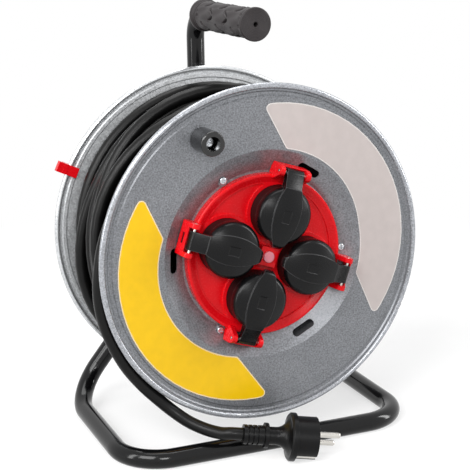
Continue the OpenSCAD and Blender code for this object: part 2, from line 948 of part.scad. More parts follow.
// Clip that hooks over the rear rim and holds the cord's end while the reel is carried
module cord_clip() {
    arm_z = rear_z + bead_r + gap;
    color("#d8141c")
        on_drum(0, 155)
            translate([0, -4.5, 0]) {
                translate([rim_r - 7, 0, arm_z])
                    cube([19, 9, 2.6]);
                translate([flange_r + gap, 0, rear_z - bead_r - 3])
                    cube([4, 9, 2 * bead_r + 6]);
                translate([rim_r - 5.5, 0, rear_z - bead_r - 3])
                    cube([12, 9, 2.7]);
                translate([rim_r + 8.5, 0, arm_z - 3])
                    cube([3.5, 9, 4]);
            }
}

// ---------- Labels, left bare ----------

function polar(r, a) = r * [cos(a), sin(a)];
// Arc from angle a0 to a1 that bows out by k at the angle mid, but stays off the dish's cone
function bow(r, mid, k, a0, a1, n = 24) =
    [for (i = [0:n]) let (a = a0 + (a1 - a0) * i / n) polar(max(r - k * (1 - cos(a - mid)), dish_r + 0.4), a)];

module label(points) {
    drum()
        translate([0, 0, face_z])
            linear_extrude(0.25)
                offset(r = 4, $fn = 32)
                    offset(delta = -4)
                        polygon(points);
}

module white_label() {
    color("#efe9e6")
        label(concat(bow(groove_r - 2.8, 36, 14, 90, -33), bow(dish_r + 3, 48, 13, -17, 77)));
}

module yellow_label() {
    color("#f5cd10")
        label(concat(bow(groove_r - 3.8, 217, 14.5, 150, 271), bow(dish_r + 6.5, 203, 16, 253, 165)));
}

// ---------- Cord inside the drum ----------

module cord_gland() {
    under = housing_z - housing_wall_t;
    color("#2a2a2c")
        on_drum(lead_r, lead_turn)
            difference() {
                union() {
                    disc(cord_d / 2 + 3.9, under - 8, housing_z + 5);
                    disc(cord_d / 2 + 6.5, under - 4.2, under - 0.2);
                }
                disc(cord_d / 2 + 0.02, under - 20, housing_z + 20);
            }
}

module cord_grommet() {
    color("#2a2a2c")
        drum()
            rotate([0, 0, lead_turn])
                translate([0, 0, lead_in_z])
                    rotate([0, 90, 0])
                        difference() {
                            union() {
                                disc(cord_d / 2 + 1.7, barrel_r - 4.5, barrel_r - 0.4);
                                disc(cord_d / 2 + 3.6, barrel_r - 4.5, barrel_r - barrel_t - 0.9);
                            }
                            disc(cord_d / 2 + 0.02, 0, 200);
                        }
}

// Cord's inner end: through the barrel, round a quarter bend and into the housing
module inner_lead() {
    bend_x = lead_r + lead_bend_r;
    color("#1d1d1f")
        drum()
            rotate([0, 0, lead_turn]) {
                translate([bend_x - tiny, 0, lead_in_z])
                    rotate([0, 90, 0])
                        cylinder(r = cord_d / 2, h = barrel_r - 0.4 - bend_x + tiny);
                translate([bend_x, 0, lead_z])
                    rotate([90, 0, 0])
                        rotate([0, 0, 180])
                            rotate_extrude(angle = 90)
                                translate([lead_bend_r, 0])
                                    circle(r = cord_d / 2);
                translate([lead_r, 0, lead_z - tiny])
                    cylinder(r = cord_d / 2, h = housing_z + 6 - lead_z + tiny);
            }
}

// ---------- Cord on the drum and off it ----------

// Plain body of the layers below: it steps down one layer under the outer layer's two ends
module cord_core() {
    low = barrel_r + gap;
    foot = barrel_end(low);
    edge_r = dish_r + 0.5;
    y0 = face_z + 1;
    y1 = wind_first + core_step;
    y2 = wind_last - core_step;
    y3 = drum_gap - face_z - 0.6;
    color("#1d1d1f")
        drum()
            rotate_extrude()
                polygon([
                    [low, -foot], [edge_r, -y0], [core_low_r, -y0], [core_low_r, -y1], [core_r, -y1], [core_r, -y2],
                    [core_low_r, -y2], [core_low_r, -y3], [edge_r, -y3], [low, -drum_gap + foot]
                ]);
}

function unit(v) = v / norm(v);
// Direction of a path at point i: along its neighbours' chord, or along the first or last piece
function heading(p, i) = unit(p[min(i + 1, len(p) - 1)] - p[max(i - 1, 0)]);

// Points of one ring of n sides round p[i], square to the path; up fixes how the ring is turned
function ring_points(p, i, r, n, up) =
    let (t = heading(p, i), u = unit(up - (up * t) * t), v = cross(t, u))
    [for (k = [0:n - 1]) p[i] + r * (cos(360 * (k + 0.5) / n) * u + sin(360 * (k + 0.5) / n) * v)];

// Tube of n sides along the points p, closed by a flat face at each end
module tube(p, r, n, up) {
    m = len(p);
    points = [for (i = [0:m - 1]) each ring_points(p, i, r, n, up)];
    sides = [for (i = [0:m - 2]) for (k = [0:n - 1]) each [
        [i * n + k, i * n + (k + 1) % n, (i + 1) * n + k],
        [i * n + (k + 1) % n, (i + 1) * n + (k + 1) % n, (i + 1) * n + k]
    ]];
    start = [for (k = [1:n - 2]) [0, k + 1, k]];
    end = [for (k = [1:n - 2]) [(m - 1) * n, (m - 1) * n + k, (m - 1) * n + k + 1]];
    polyhedron(points = points, faces = concat(sides, start, end), convexity = 8);
}

// Point of the drum frame at radius r, angle a and distance y behind the front rim, in the object's frame
function drum_point(r, a, y) = [r * cos(a), front_y + y, hub_z + r * sin(a)];
// Direction of growing angle there
function drum_tangent(a) = [-sin(a), 0, cos(a)];

// Outer layer: radius at turn t, one layer lower at both ends
function smooth(x) = let (c = min(max(x, 0), 1)) c * c * (3 - 2 * c);
function turn_r(t) = wind_r - dip * (2 - smooth(t * 2) - smooth((wind_turns - t) * 2));
function turn_point(t) = drum_point(turn_r(t), 270 - 360 * t, wind_first + wind_pitch * t);

winding_steps = round(wind_turns * wind_rings);
winding_path = [for (k = [0:winding_steps]) turn_point(wind_turns * k / winding_steps)];
winding_line = concat(
    [winding_path[0] - cord_d * unit(winding_path[1] - winding_path[0])],
    winding_path,
    [winding_path[winding_steps] + cord_d * unit(winding_path[winding_steps] - winding_path[winding_steps - 1])]
);

// Least gap between points of the tube more than a third of a turn apart
winding_gap = min([for (i = [0:winding_steps]) for (k = [wind_rings - 2:wind_rings + 2])
    i + k > winding_steps ? 1e6 : norm(winding_path[i] - winding_path[i + k])]) - cord_d;
echo(least_gap_of_the_winding_to_itself_mm = winding_gap);

module cord_winding() {
    color("#1d1d1f")
        tube(winding_line, cord_d / 2, wind_sides, [0, 1, 0]);
}

// Last turn, from its hidden start round to where the free cord leaves it
last_path = [for (k = [0:last_rings])
    let (s = k / last_rings, a = last_from + (last_to - last_from) * s)
    drum_point(last_r0 + (last_r1 - last_r0) * s, a, lane_y)];
last_start = last_path[0] - cord_d * unit(last_path[1] - last_path[0]);
last_end = last_path[last_rings] + cord_d * drum_tangent(last_to);

module cord_last_turn() {
    color("#1d1d1f")
        tube(concat([last_start], last_path, [last_end]), cord_d / 2, cord_sides, [0, 1, 0]);
}

// Direction of the plug's pins, and where the cord enters the plug
plug_axis = [cos(plug_turn) * cos(plug_tilt), sin(plug_turn) * cos(plug_tilt), -sin(plug_tilt)];
plug_at = [plug_x, plug_y, plug_z];
plug_entry = plug_at + plug_tail * plug_axis;
tail_path = concat(
    [last_end, last_end + cord_d * drum_tangent(last_to)],
    [for (q = route) [q[0] * route_kx, front_y + lane_y - q[1], q[2] * route_kz]],
    [plug_entry - cord_d * plug_axis, plug_entry]
);
function path_length(p) = [for (i = [0:len(p) - 2]) norm(p[i + 1] - p[i])] * [for (i = [0:len(p) - 2]) 1];
echo(free_cord_mm = path_length(tail_path), last_turn_mm = path_length(last_path), outer_layer_mm = path_length(winding_path));

module cord_tail() {
    color("#1d1d1f")
        tube(tail_path, cord_d / 2, cord_sides, [0, 1, 0]);
}

// ---------- Plug ----------

module at_plug() {
    translate(plug_at)
        rotate([0, 90 + plug_tilt, plug_turn])
            rotate([0, 0, plug_roll])
                children();
}

insert_r = plug_body_r - 3.5;
plug_face = plug_flange_t / 2 + plug_body_len;
pin_neck_r = pin_r - 0.4;
pin_neck_len = 0.5;

module plug_body() {
    half_t = plug_flange_t / 2;
    color("#1d1d1f")
        at_plug()
            difference() {
                rotate_extrude()
                    polygon(concat(
                        [[0, plug_tail], [8.1, plug_tail]],
                        [for (z = [-37.5:4:-29.5]) each [[8.1, z], [6.6, z], [6.6, z + 1.3], [8.1, z + 1.3]]],
                        [[8.1, -23.5], [10.4, -23], [10.4, -20], [7.4, -19.5], [7.4, -13]],
                        [for (k = [0:8]) [7.4 + (plug_flange_r - 8.9) * (1 - cos(k * 11.25)), -13 + (13 - half_t) * sin(k * 11.25)]],
                        [[plug_flange_r, -half_t + 1.4], [plug_flange_r, half_t], [plug_body_r, half_t]],
                        [[plug_body_r, plug_face], [0, plug_face]]
                    ));
                disc(insert_r + fit, half_t + 1, plug_face + 1);
                for (s = [-1, 1])
                    translate([-3, s * plug_body_r - 1.4, half_t + 1.5])
                        cube([6, 2.8, plug_body_len]);
            }
}

module plug_insert() {
    color("#2a2a2c")
        at_plug()
            difference() {
                disc(insert_r, plug_flange_t / 2 + 1.1, plug_face);
                for (s = [-1, 1])
                    translate([s * pin_pitch / 2, 0, 0])
                        disc(pin_neck_r + tiny, plug_face - 10, plug_face + 1);
            }
}

// One pin: a thinner root inside the insert, and a straight pin with a round tip outside it
module plug_pin() {
    foot = plug_face + pin_neck_len;
    tip = plug_face + pin_len;
    e = pin_r - 0.4;
    disc(pin_neck_r, plug_face - 10, foot + 1);
    rotate_extrude()
        polygon(concat(
            [[0, foot], [pin_r, foot]],
            [for (k = [6:-1:0]) [pin_r - e + e * sin(15 * k), tip - e + e * cos(15 * k)]],
            [[0, tip]]
        ));
}

module plug_pins() {
    color("#cfd1d3")
        at_plug()
            for (s = [-1, 1])
                translate([s * pin_pitch / 2, 0, 0])
                    plug_pin();
}

module plug_earth() {
    color("#cfd1d3")
        at_plug()
            for (s = [-1, 1])
                translate([-2.5, s * (plug_body_r - 0.9) - 0.4, plug_flange_t / 2 + 1.7])
                    cube([5, 0.8, plug_body_len - 2.2]);
}

base_tube();
handle_tube();
grip();
axle();
axle_spacer();
axle_washers();
axle_nuts();
front_flange();
rear_flange();
barrel();
drum_hub();
hub_rivets();
hub_bushes();
tie_bolts();
tie_nuts();
socket_plate();
socket_housing();
housing_screws();
socket(1);  // socket_1
socket(2);  // socket_2
socket(3);  // socket_3
socket(4);  // socket_4
contact_sleeves();
earth_clips();
lid(1);  // lid_1
lid(2);  // lid_2
lid(3);  // lid_3
lid(4);  // lid_4
lid_pins();
reset_button();
thermal_cutout();
terminal_block();
crank_knob();
knob_screw();
knob_nut();
cord_clip();
white_label();
yellow_label();
cord_gland();
cord_grommet();
inner_lead();
cord_core();
cord_winding();
cord_last_turn();
cord_tail();
plug_body();
plug_insert();
plug_pins();
plug_earth();
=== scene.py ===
"""Finishes, cords and fine detail of a steel extension cord reel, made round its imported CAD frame.

Metres throughout, in the frame's own axes: +Z is up, the drum turns about Y and the sockets face -Y.
"""

import math

import bpy
import numpy as np
from bpy.props import FloatProperty, FloatVectorProperty, IntProperty, PointerProperty
from mathutils import Matrix, Vector


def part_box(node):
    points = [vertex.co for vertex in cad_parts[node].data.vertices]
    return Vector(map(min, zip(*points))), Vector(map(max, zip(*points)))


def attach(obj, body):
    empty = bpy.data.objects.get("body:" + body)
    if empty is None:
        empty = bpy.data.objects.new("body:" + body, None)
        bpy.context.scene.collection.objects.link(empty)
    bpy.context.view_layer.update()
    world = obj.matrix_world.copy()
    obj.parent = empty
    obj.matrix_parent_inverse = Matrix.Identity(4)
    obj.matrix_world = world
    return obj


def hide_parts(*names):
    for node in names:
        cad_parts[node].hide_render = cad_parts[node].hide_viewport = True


bl_info = {
    "name": "Extension Cord Reel",
    "version": (1, 0, 0),
    "blender": (4, 5, 0),
    "location": "3D View > Sidebar > Cord Reel",
    "description": "Dresses a steel extension cord reel: finishes, wound cord, grip, labels and studio",
    "category": "Object",
}

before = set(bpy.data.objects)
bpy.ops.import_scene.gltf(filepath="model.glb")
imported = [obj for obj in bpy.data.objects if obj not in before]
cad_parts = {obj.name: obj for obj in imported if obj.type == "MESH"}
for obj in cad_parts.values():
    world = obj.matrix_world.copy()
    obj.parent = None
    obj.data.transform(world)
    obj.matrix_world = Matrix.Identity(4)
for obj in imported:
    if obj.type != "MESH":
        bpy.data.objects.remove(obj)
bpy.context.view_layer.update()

# ---------- Places read from the frame ----------

RIM_BEAD_R = 0.0025
FLANGE_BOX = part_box("front_flange")
HUB_Z = (FLANGE_BOX[0].z + FLANGE_BOX[1].z) / 2
FRONT_Y = FLANGE_BOX[0].y + RIM_BEAD_R
RIM_R = (FLANGE_BOX[1].z - FLANGE_BOX[0].z) / 2
GRIP_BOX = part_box("grip")

# ---------- Route of the cord, as the CAD source has it ----------

# Last turn: angles in degrees, radius at both, and degrees over which it comes up out of the winding
LAST_TURN_FROM = -185.0
LAST_TURN_TO = 135.0
LAST_TURN_R = (0.124, 0.130)
COMES_UP_OVER = 60.0
# Free cord from the last turn to the plug: x, distance in front of the last turn's plane, z
ROUTE = np.array([
    (-0.113, 0, 0.232), (-0.1255, 0, 0.211), (-0.1345, 0, 0.189), (-0.139, 0, 0.1675),
    (-0.1405, 0, 0.1455), (-0.1375, 0, 0.1235), (-0.130, 0, 0.102), (-0.1195, 0, 0.082),
    (-0.106, 0.0005, 0.064), (-0.093, 0.0025, 0.050), (-0.082, 0.007, 0.0395),
    (-0.072, 0.0145, 0.032), (-0.0615, 0.024, 0.0275), (-0.052, 0.0335, 0.026),
])
# Plug: place, turn and tilt, its tail along its own axis, and how far the cord goes into it
PLUG_AT = np.array((0.003, FRONT_Y - 0.0435, 0.02015))
PLUG_TURN = math.radians(-14)
PLUG_TILT = math.atan(2.5 / 18)
PLUG_TAIL = -0.0405
INTO_PLUG = 0.003
# Inner end: angle, radius beside the hub, depth where it crosses the barrel, depth where it ends, bend,
# straight run before the bend, and how far it goes past the barrel's wall
LEAD_TURN = 162.0
LEAD_R = 0.040
LEAD_CROSSES = 0.110
LEAD_ENDS = 0.046
LEAD_BEND = 0.040
LEAD_STRAIGHT = 0.012
BARREL_R = 0.084
PAST_WALL = 0.004
# Spacing of points along the inner end and the free cord
LEAD_SPACING = 0.003
END_SPACING = 0.0045
# Winding, in turns: run along the barrel to the front, climb onto the next layer, half of the shift back
# where the third layer begins, crossing to the outer layer, and the climb at that crossing
FIRST_RUN = 0.75
CLIMB = 0.25
SHIFT_BACK = 0.15
CROSSING = 0.55
CROSSING_CLIMB = 0.12
# Winding, in metres: gap to a flange, and how far behind the outer layer's front the third layer ends
FLANGE_GAP = 0.002
THIRD_BEHIND = 0.011
# Where the cord crosses forward over the third layer, and where a turn rides on its neighbour:
# turns after the outer layer's start, angle, and half of the ride's length in turns
CROSSING_FROM = 70.0
RIDES = ((1, 205.0, 0.16), (3, 120.0, 0.20), (5, 160.0, 0.18))
# Part of the cord's diameter by which a riding turn moves aside
RIDE_ASIDE = 0.51
# Sideways waves of the turns that show: share, waves to a turn, phase
WAVES = ((0.6, 1, 0.7), (0.4, 2, 2.1))
# Points of the winding to a turn, and over how many of them its corners are rounded
TURN_POINTS = 60
ROUNDED_OVER = 13

# ---------- Grip ----------

GRIP_BODY_R = 0.0125
GRIP_FLANGE_R = 0.0138
GRIP_BORE_R = 0.0081
GRIP_COLUMNS = 240
GRIP_BODY_ROWS = 300
# Fine rings on the end face: half of their height, and from one to the next
FACE_RING_LIFT = 0.00012
FACE_RING_PITCH = 0.0012
# Lean of a slash, height of the bulges between slashes, and share of the body over which both fade
SLASH_LEAN = math.radians(26)
BULGE = 0.0007
SLASH_FADE = 0.06

# ---------- Finishes and stage ----------

# Noise lies mostly between these two values
NOISE = (0.3, 0.7)
# Cosine of a rounded normal's lean: a full edge, and an open face
EDGE_LEAN = (0.90, 0.995)
# Painted highlight along edges: how far it reaches, and its colour
PAINTED_HIGHLIGHT_MM = 0.8
PAINTED_HIGHLIGHT_COLOUR = "#a0a0a2"
# Pale edge of a label's film
FILM_EDGE_MM = 1.6
# Rolled rim, lighter as a painted highlight and smoother: its width, and how softly it begins
RIM_WIDTH = 0.0035
RIM_FADE = 0.0010
# Lids: radius of the sphere that the dome is a part of, and the sunk rectangle's half sizes and depth
DOME_R = 0.075
SUNK_HALF = (0.0052, 0.0036)
SUNK_DEPTH = 0.0006
SUNK_FADE = 0.0003
# Floor: where it turns into the background, and how much of the background it shows near and far
FLOOR_TURNS = (0.30, 0.8)
FLOOR_SHOWS = (0.6, 1.0)
WHITE = "#ffffff"
SENSOR_MM = 36
CAMERA_TARGET = Vector((-0.02625, FRONT_Y, 0.1852))
LAMP_TARGET = Vector((0, 0, 0.18))


def linear(colour):
    """sRGB hex to the linear RGBA that Blender's sockets take."""
    parts = [int(colour[i:i + 2], 16) / 255 for i in (1, 3, 5)]
    return tuple(c / 12.92 if c <= 0.04045 else ((c + 0.055) / 1.055) ** 2.4 for c in parts) + (1.0,)


def size(name, description, default):
    """One size in metres, as a property."""
    return FloatProperty(name=name, description=description, default=default, min=0.0, unit="LENGTH",
                         subtype="DISTANCE", precision=4)


def power(name, description, default):
    """Power of one lamp in watts, as a property."""
    return FloatProperty(name=name, description=description, default=default, min=0.0, unit="POWER")


def tint(name, description, hex_value):
    """One colour, as a property."""
    return FloatVectorProperty(name=name, description=description, default=linear(hex_value), size=4,
                               min=0.0, max=1.0, subtype="COLOR")


class ReelSizes(bpy.types.PropertyGroup):
    """Sizes of the pieces that this script makes."""

    cord_diameter: size("Cord diameter", "Outer diameter of the rubber cord", 0.0105)
    lane: size("Lane", "From the front rim to the middle of the last turn", 0.0085)
    layer_r: size("First layer", "Radius of the first layer's middle", 0.0896)
    layer_step: size("Layer step", "From one layer of cord to the next", 0.0114)
    layer_pitch: size("Layer pitch", "From one turn to the next in the inner layers", 0.0125)
    outer_r: size("Outer layer", "Radius of the outer layer's middle", 0.124)
    dip_r: size("Dipped ends", "Radius at which the outer layer's ends are hidden", 0.1135)
    wind_front: size("Front of the winding", "Depth of the outer layer's front end", 0.0196)
    wind_rear: size("Rear of the winding", "Depth of the inner layers' rear end", 0.1257)
    outer_rear: size("Rear of the outer layer", "Depth of the outer layer's rear end", 0.1009)
    outer_pitch: size("Outer pitch", "From one turn to the next in the outer layer", 0.0108)
    wander: size("Wander", "How far the turns wander sideways", 0.0022)
    lift: size("Lift", "How high a turn rides on its neighbour", 0.0088)
    groove_depth: size("Groove depth", "Depth of the slashes in the grip", 0.0028)
    groove_width: size("Groove width", "Half of the width of the slashes in the grip", 0.0010)
    groove_length: size("Groove length", "Length of the slashes in the grip", 0.0085)
    slashes: IntProperty(name="Slashes", default=12, min=4,
                         description="Columns of slashes round the grip, a multiple of 4")
    rows: IntProperty(name="Rows", description="Rows of slashes along the grip", default=3, min=1)


class ReelColours(bpy.types.PropertyGroup):
    """Colours of the reel's finishes."""

    tube: tint("Tube", "Powder coat on the stand's tube", "#0b0b0c")
    sheet: tint("Steel sheet", "Galvanised sheet of the drum", "#7f8185")
    # Paler than the front sheet: painted light on the rear flange's inner face
    sheet_painted_light: tint("Bright sheet", "Galvanised sheet of the rear flange", "#cdcfd1")
    hardware: tint("Hardware", "Zinc-plated bolts, nuts and axle", "#c3c6ca")
    nickel: tint("Nickel", "Pins of the plug and of the lid hinges", "#d6d3cd")
    brass: tint("Brass", "Contacts inside the sockets", "#c7a254")
    plate: tint("Plate", "Red plastic of the socket plate and the clip", "#e30b17")
    lid: tint("Lids", "Black plastic of the lids", "#0d0d0e")
    socket: tint("Sockets", "Black plastic of the sockets and the knob", "#0a0a0b")
    housing: tint("Housing", "Dark plastic inside the drum", "#2a2a2c")
    nylon: tint("Nylon", "Bushes and terminal block", "#e6e1d3")
    button: tint("Button", "Soft cap of the reset button", "#ee8f9c")
    grip: tint("Grip", "Rubber of the handle's grip", "#2e2a2b")
    cord: tint("Cord", "Rubber sheath of the cord", "#0c0c0c")
    plug: tint("Plug", "Moulded rubber of the plug", "#0a0a0b")
    white_film: tint("White label", "Film of the upper label", "#c6bcb9")
    yellow_film: tint("Yellow label", "Film of the lower label", "#f4c400")
    film_edge: tint("Label edge", "Unprinted edge of both labels", "#f2f0ec")


class ReelStudio(bpy.types.PropertyGroup):
    """Camera, floor and lamps."""

    azimuth: FloatProperty(name="Azimuth", description="Camera's turn to the object's left",
                           default=math.radians(22.4), subtype="ANGLE")
    elevation: FloatProperty(name="Elevation", description="Camera's angle above the horizon",
                             default=math.radians(14.19), subtype="ANGLE")
    roll: FloatProperty(name="Roll", description="Camera's turn about its own line of sight",
                        default=-0.016, subtype="ANGLE")
    distance: size("Camera distance", "From the camera to the point that it looks at", 1.0553)
    focal: FloatProperty(name="Focal length", description="Focal length on a 36 mm sensor",
                         default=99.16, subtype="DISTANCE_CAMERA")
    floor: tint("Floor", "Plain pale floor, as the camera sees it", "#f4f4f4")
    floor_bounce: tint("Floor bounce", "The floor as the object's finishes see it", "#9a9a9a")
    floor_size: size("Floor size", "Side of the square floor", 18.0)
    room_level: FloatProperty(name="Room level", default=0.20,
                              description="Strength of the even light from all sides")
    key_power: power("Key lamp", "Power of the large lamp on the left", 36.0)
    side_power: power("Side lamp", "Power of the lamp on the right", 21.0)
    edge_power: power("Edge lamp", "Power of the narrow lamp on the left", 12.0)
    front_power: power("Front lamp", "Power of the lamp above the camera", 9.0)
    top_power: power("Top lamp", "Power of the lamp overhead", 21.0)


# ---------- Nodes and finishes ----------


def node(tree, kind, sockets=None, **settings):
    """Adds one shader node and its links.

    Sockets are named or numbered, and take a value or another node's output. Settings are attributes.
    """
    made = tree.nodes.new(kind)
    for key, value in settings.items():
        setattr(made, key, value)
    for key, value in (sockets or {}).items():
        if isinstance(value, bpy.types.NodeSocket):
            tree.links.new(value, made.inputs[key])
        else:
            made.inputs[key].default_value = value
    return made


def empty_material(name):
    """A node material with nothing in it yet, and its node tree."""
    material = bpy.data.materials.new(name)
    material.use_nodes = True
    material.node_tree.nodes.clear()
    return material, material.node_tree


def grain(tree, size_mm, detail=2.0):
    """Noise in Object coordinates whose lumps are size_mm across, from 0 to 1."""
    where = node(tree, "ShaderNodeTexCoord").outputs["Object"]
    sockets = {"Vector": where, "Scale": 1000 / size_mm, "Detail": detail}
    return node(tree, "ShaderNodeTexNoise", sockets).outputs["Fac"]


def toned(tree, base, value, low, high, start=NOISE[0], end=NOISE[1]):
    """Colour times a factor, which goes from low to high while the value goes from start to end."""
    factor = node(tree, "ShaderNodeMapRange", {0: value, 1: start, 2: end, 3: low, 4: high}).outputs[0]
    grey = node(tree, "ShaderNodeCombineColor", {0: factor, 1: factor, 2: factor}).outputs[0]
    return node(tree, "ShaderNodeMix", {0: 1.0, 6: base, 7: grey}, data_type="RGBA",
                blend_type="MULTIPLY").outputs[2]


def level_place(tree, x, z):
    """Place in Object coordinates less the point at x and z, with Y left out."""
    where = node(tree, "ShaderNodeTexCoord").outputs["Object"]
    off = node(tree, "ShaderNodeVectorMath", {0: where, 1: (x, 0.0, z)}, operation="SUBTRACT").outputs[0]
    return node(tree, "ShaderNodeVectorMath", {0: off, 1: (1.0, 0.0, 1.0)}, operation="MULTIPLY").outputs[0]


def edge_mask(tree, radius_mm):
    """1 beside a piece's edges and 0 on its open faces, from the cosine of a rounded normal's lean."""
    bent = node(tree, "ShaderNodeBevel", {"Radius": radius_mm / 1000}, samples=8).outputs[0]
    flat = node(tree, "ShaderNodeNewGeometry").outputs["Normal"]
    cosine = node(tree, "ShaderNodeVectorMath", {0: bent, 1: flat}, operation="DOT_PRODUCT").outputs["Value"]
    sockets = {0: cosine, 1: EDGE_LEAN[0], 2: EDGE_LEAN[1], 3: 1.0, 4: 0.0}
    return node(tree, "ShaderNodeMapRange", sockets).outputs[0]


def rim_mask(tree):
    """1 on a flange's rolled rim and 0 inside it, from the distance to the drum's axis."""
    away = node(tree, "ShaderNodeVectorMath", {0: level_place(tree, 0.0, HUB_Z)}, operation="LENGTH")
    begins = RIM_R - RIM_WIDTH
    sockets = {0: away.outputs["Value"], 1: begins - RIM_FADE, 2: begins, 3: 0.0, 4: 1.0}
    return node(tree, "ShaderNodeMapRange", sockets).outputs[0]


def finish(name, base, rough=(0.4, 0.5), grain_mm=1.0, bump_mm=0.01, tone=(0.94, 1.06), edge_mm=0.0,
           painted_highlight=0.0, speckle=None, relief=None, rim_highlight_and_polish=None, **constants):
    """A finish whose fine grain moves roughness and colour between two values and lifts the surface.

    edge_mm softens edges, the share for a painted highlight lightens the colour beside the edges, and speckle
    tones it grain by grain.
    relief is a function of the node tree that gives a height in metres. The rim setting gives a flange's
    rolled rim a painted highlight, as a share of the colour, and its polish, as a share of the roughness.
    Other settings go to the shader's sockets.
    Powder coat and zinc crystals have the grain size of real ones. Moulded, rubber and plated surfaces
    have a grain under 0.2 mm, too fine to show, so it is drawn as coarse as it needs to show. Dark
    finishes take an IOR below the usual 1.5, so that less of the pale room shows in them.
    """
    material, tree = empty_material(name)
    fine = grain(tree, grain_mm)
    colour = toned(tree, base, grain(tree, grain_mm * 12, detail=3.0), *tone)
    if speckle:
        colour = toned(tree, colour, fine, *speckle)
    if painted_highlight:
        # Painted highlight: the colour beside the edges is mixed towards a pale grey
        mask = node(tree, "ShaderNodeMath", {0: edge_mask(tree, PAINTED_HIGHLIGHT_MM), 1: painted_highlight}, operation="MULTIPLY")
        sockets = {0: mask.outputs[0], 6: colour, 7: linear(PAINTED_HIGHLIGHT_COLOUR)}
        colour = node(tree, "ShaderNodeMix", sockets, data_type="RGBA").outputs[2]
    bump = {"Height": fine, "Distance": bump_mm / 1000, "Strength": 1.0}
    if edge_mm:
        bump["Normal"] = node(tree, "ShaderNodeBevel", {"Radius": edge_mm / 1000}, samples=6).outputs[0]
    normal = node(tree, "ShaderNodeBump", bump).outputs[0]
    if relief:
        shaped = {"Height": relief(tree), "Distance": 1.0, "Strength": 1.0, "Normal": normal}
        normal = node(tree, "ShaderNodeBump", shaped).outputs[0]
    sockets = {0: fine, 1: NOISE[0], 2: NOISE[1], 3: rough[0], 4: rough[1]}
    roughness = node(tree, "ShaderNodeMapRange", sockets).outputs[0]
    if rim_highlight_and_polish:
        # On the rolled rim the colour is lifted as a painted highlight, and the roughness is lowered for its
        # polish
        on_rim = rim_mask(tree)
        colour = toned(tree, colour, on_rim, 1.0, rim_highlight_and_polish[0], 0.0, 1.0)
        share = node(tree, "ShaderNodeMapRange", {0: on_rim, 1: 0.0, 2: 1.0, 3: 1.0, 4: rim_highlight_and_polish[1]}).outputs[0]
        roughness = node(tree, "ShaderNodeMath", {0: roughness, 1: share}, operation="MULTIPLY").outputs[0]
    sockets = {"Base Color": colour, "Roughness": roughness, "Normal": normal}
    sockets.update({key.replace("_", " "): value for key, value in constants.items()})
    shader = node(tree, "ShaderNodeBsdfPrincipled", sockets)
    node(tree, "ShaderNodeOutputMaterial", {"Surface": shader.outputs[0]})
    return material


def lid_relief(name):
    """Relief of one lid: a shallow dome, and a small sunk rectangle on the band, about the lid's middle.

    The band runs from the hinge pins to the hub, so its direction is the lid's own place about the hub.
    The dome falls by the distance squared over twice its radius.
    """
    low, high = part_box(name.replace("lid", "socket"))
    middle = (low + high) / 2
    turn = math.atan2(middle.z - HUB_Z, middle.x)
    along = (math.cos(turn), 0.0, math.sin(turn))
    across = (-math.sin(turn), 0.0, math.cos(turn))

    def height(tree):
        level = level_place(tree, middle.x, middle.z)
        away = node(tree, "ShaderNodeVectorMath", {0: level}, operation="LENGTH").outputs["Value"]
        squared = node(tree, "ShaderNodeMath", {0: away, 1: away}, operation="MULTIPLY").outputs[0]
        sockets = {0: squared, 1: -1 / (2 * DOME_R)}
        dome = node(tree, "ShaderNodeMath", sockets, operation="MULTIPLY").outputs[0]
        inside = []
        for axis, half in zip((along, across), SUNK_HALF):
            off = node(tree, "ShaderNodeVectorMath", {0: level, 1: axis}, operation="DOT_PRODUCT")
            off = node(tree, "ShaderNodeMath", {0: off.outputs["Value"]}, operation="ABSOLUTE").outputs[0]
            sockets = {0: off, 1: half - SUNK_FADE, 2: half + SUNK_FADE, 3: 1.0, 4: 0.0}
            inside.append(node(tree, "ShaderNodeMapRange", sockets).outputs[0])
        sunk = node(tree, "ShaderNodeMath", dict(enumerate(inside)), operation="MULTIPLY").outputs[0]
        sunk = node(tree, "ShaderNodeMath", {0: sunk, 1: -SUNK_DEPTH}, operation="MULTIPLY").outputs[0]
        return node(tree, "ShaderNodeMath", {0: dome, 1: sunk}, operation="ADD").outputs[0]

    return height


def film(name, base, edge):
    """Glossy film whose unprinted edge shows as a paler line, with faint waves and smears of a few mm."""
    material, tree = empty_material(name)
    waved = toned(tree, base, grain(tree, 9.0), 0.97, 1.03)
    colour = node(tree, "ShaderNodeMix", {0: edge_mask(tree, FILM_EDGE_MM), 6: waved, 7: edge},
                  data_type="RGBA").outputs[2]
    smears = {0: grain(tree, 2.0), 1: NOISE[0], 2: NOISE[1], 3: 0.28, 4: 0.36}
    rough = node(tree, "ShaderNodeMapRange", smears).outputs[0]
    shader = node(tree, "ShaderNodeBsdfPrincipled", {"Base Color": colour, "Roughness": rough})
    node(tree, "ShaderNodeOutputMaterial", {"Surface": shader.outputs[0]})
    return material


def shown_rays(tree):
    """1 for the rays that show the background: the camera's own, and those of gloss and glass."""
    path = node(tree, "ShaderNodeLightPath").outputs
    shown = path["Is Camera Ray"]
    for kind in ("Is Glossy Ray", "Is Transmission Ray"):
        shown = node(tree, "ShaderNodeMath", {0: shown, 1: path[kind]}, operation="MAXIMUM").outputs[0]
    return shown


def paint(material, *names):
    """Puts a material on CAD nodes, in place of the one they came with."""
    for name in names:
        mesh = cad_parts[name].data
        mesh.materials.clear()
        mesh.materials.append(material)


# ---------- Surfaces ----------


def add_mesh(name, points, faces, material, smooth=True):
    """A mesh object at the origin from numpy points and quads or triangles."""
    mesh = bpy.data.meshes.new(name)
    mesh.from_pydata(points, [], faces)
    mesh.polygons.foreach_set("use_smooth", np.full(len(mesh.polygons), smooth))
    mesh.materials.append(material)
    mesh.validate()
    mesh.update()
    made = bpy.data.objects.new(name, mesh)
    bpy.context.scene.collection.objects.link(made)
    return made


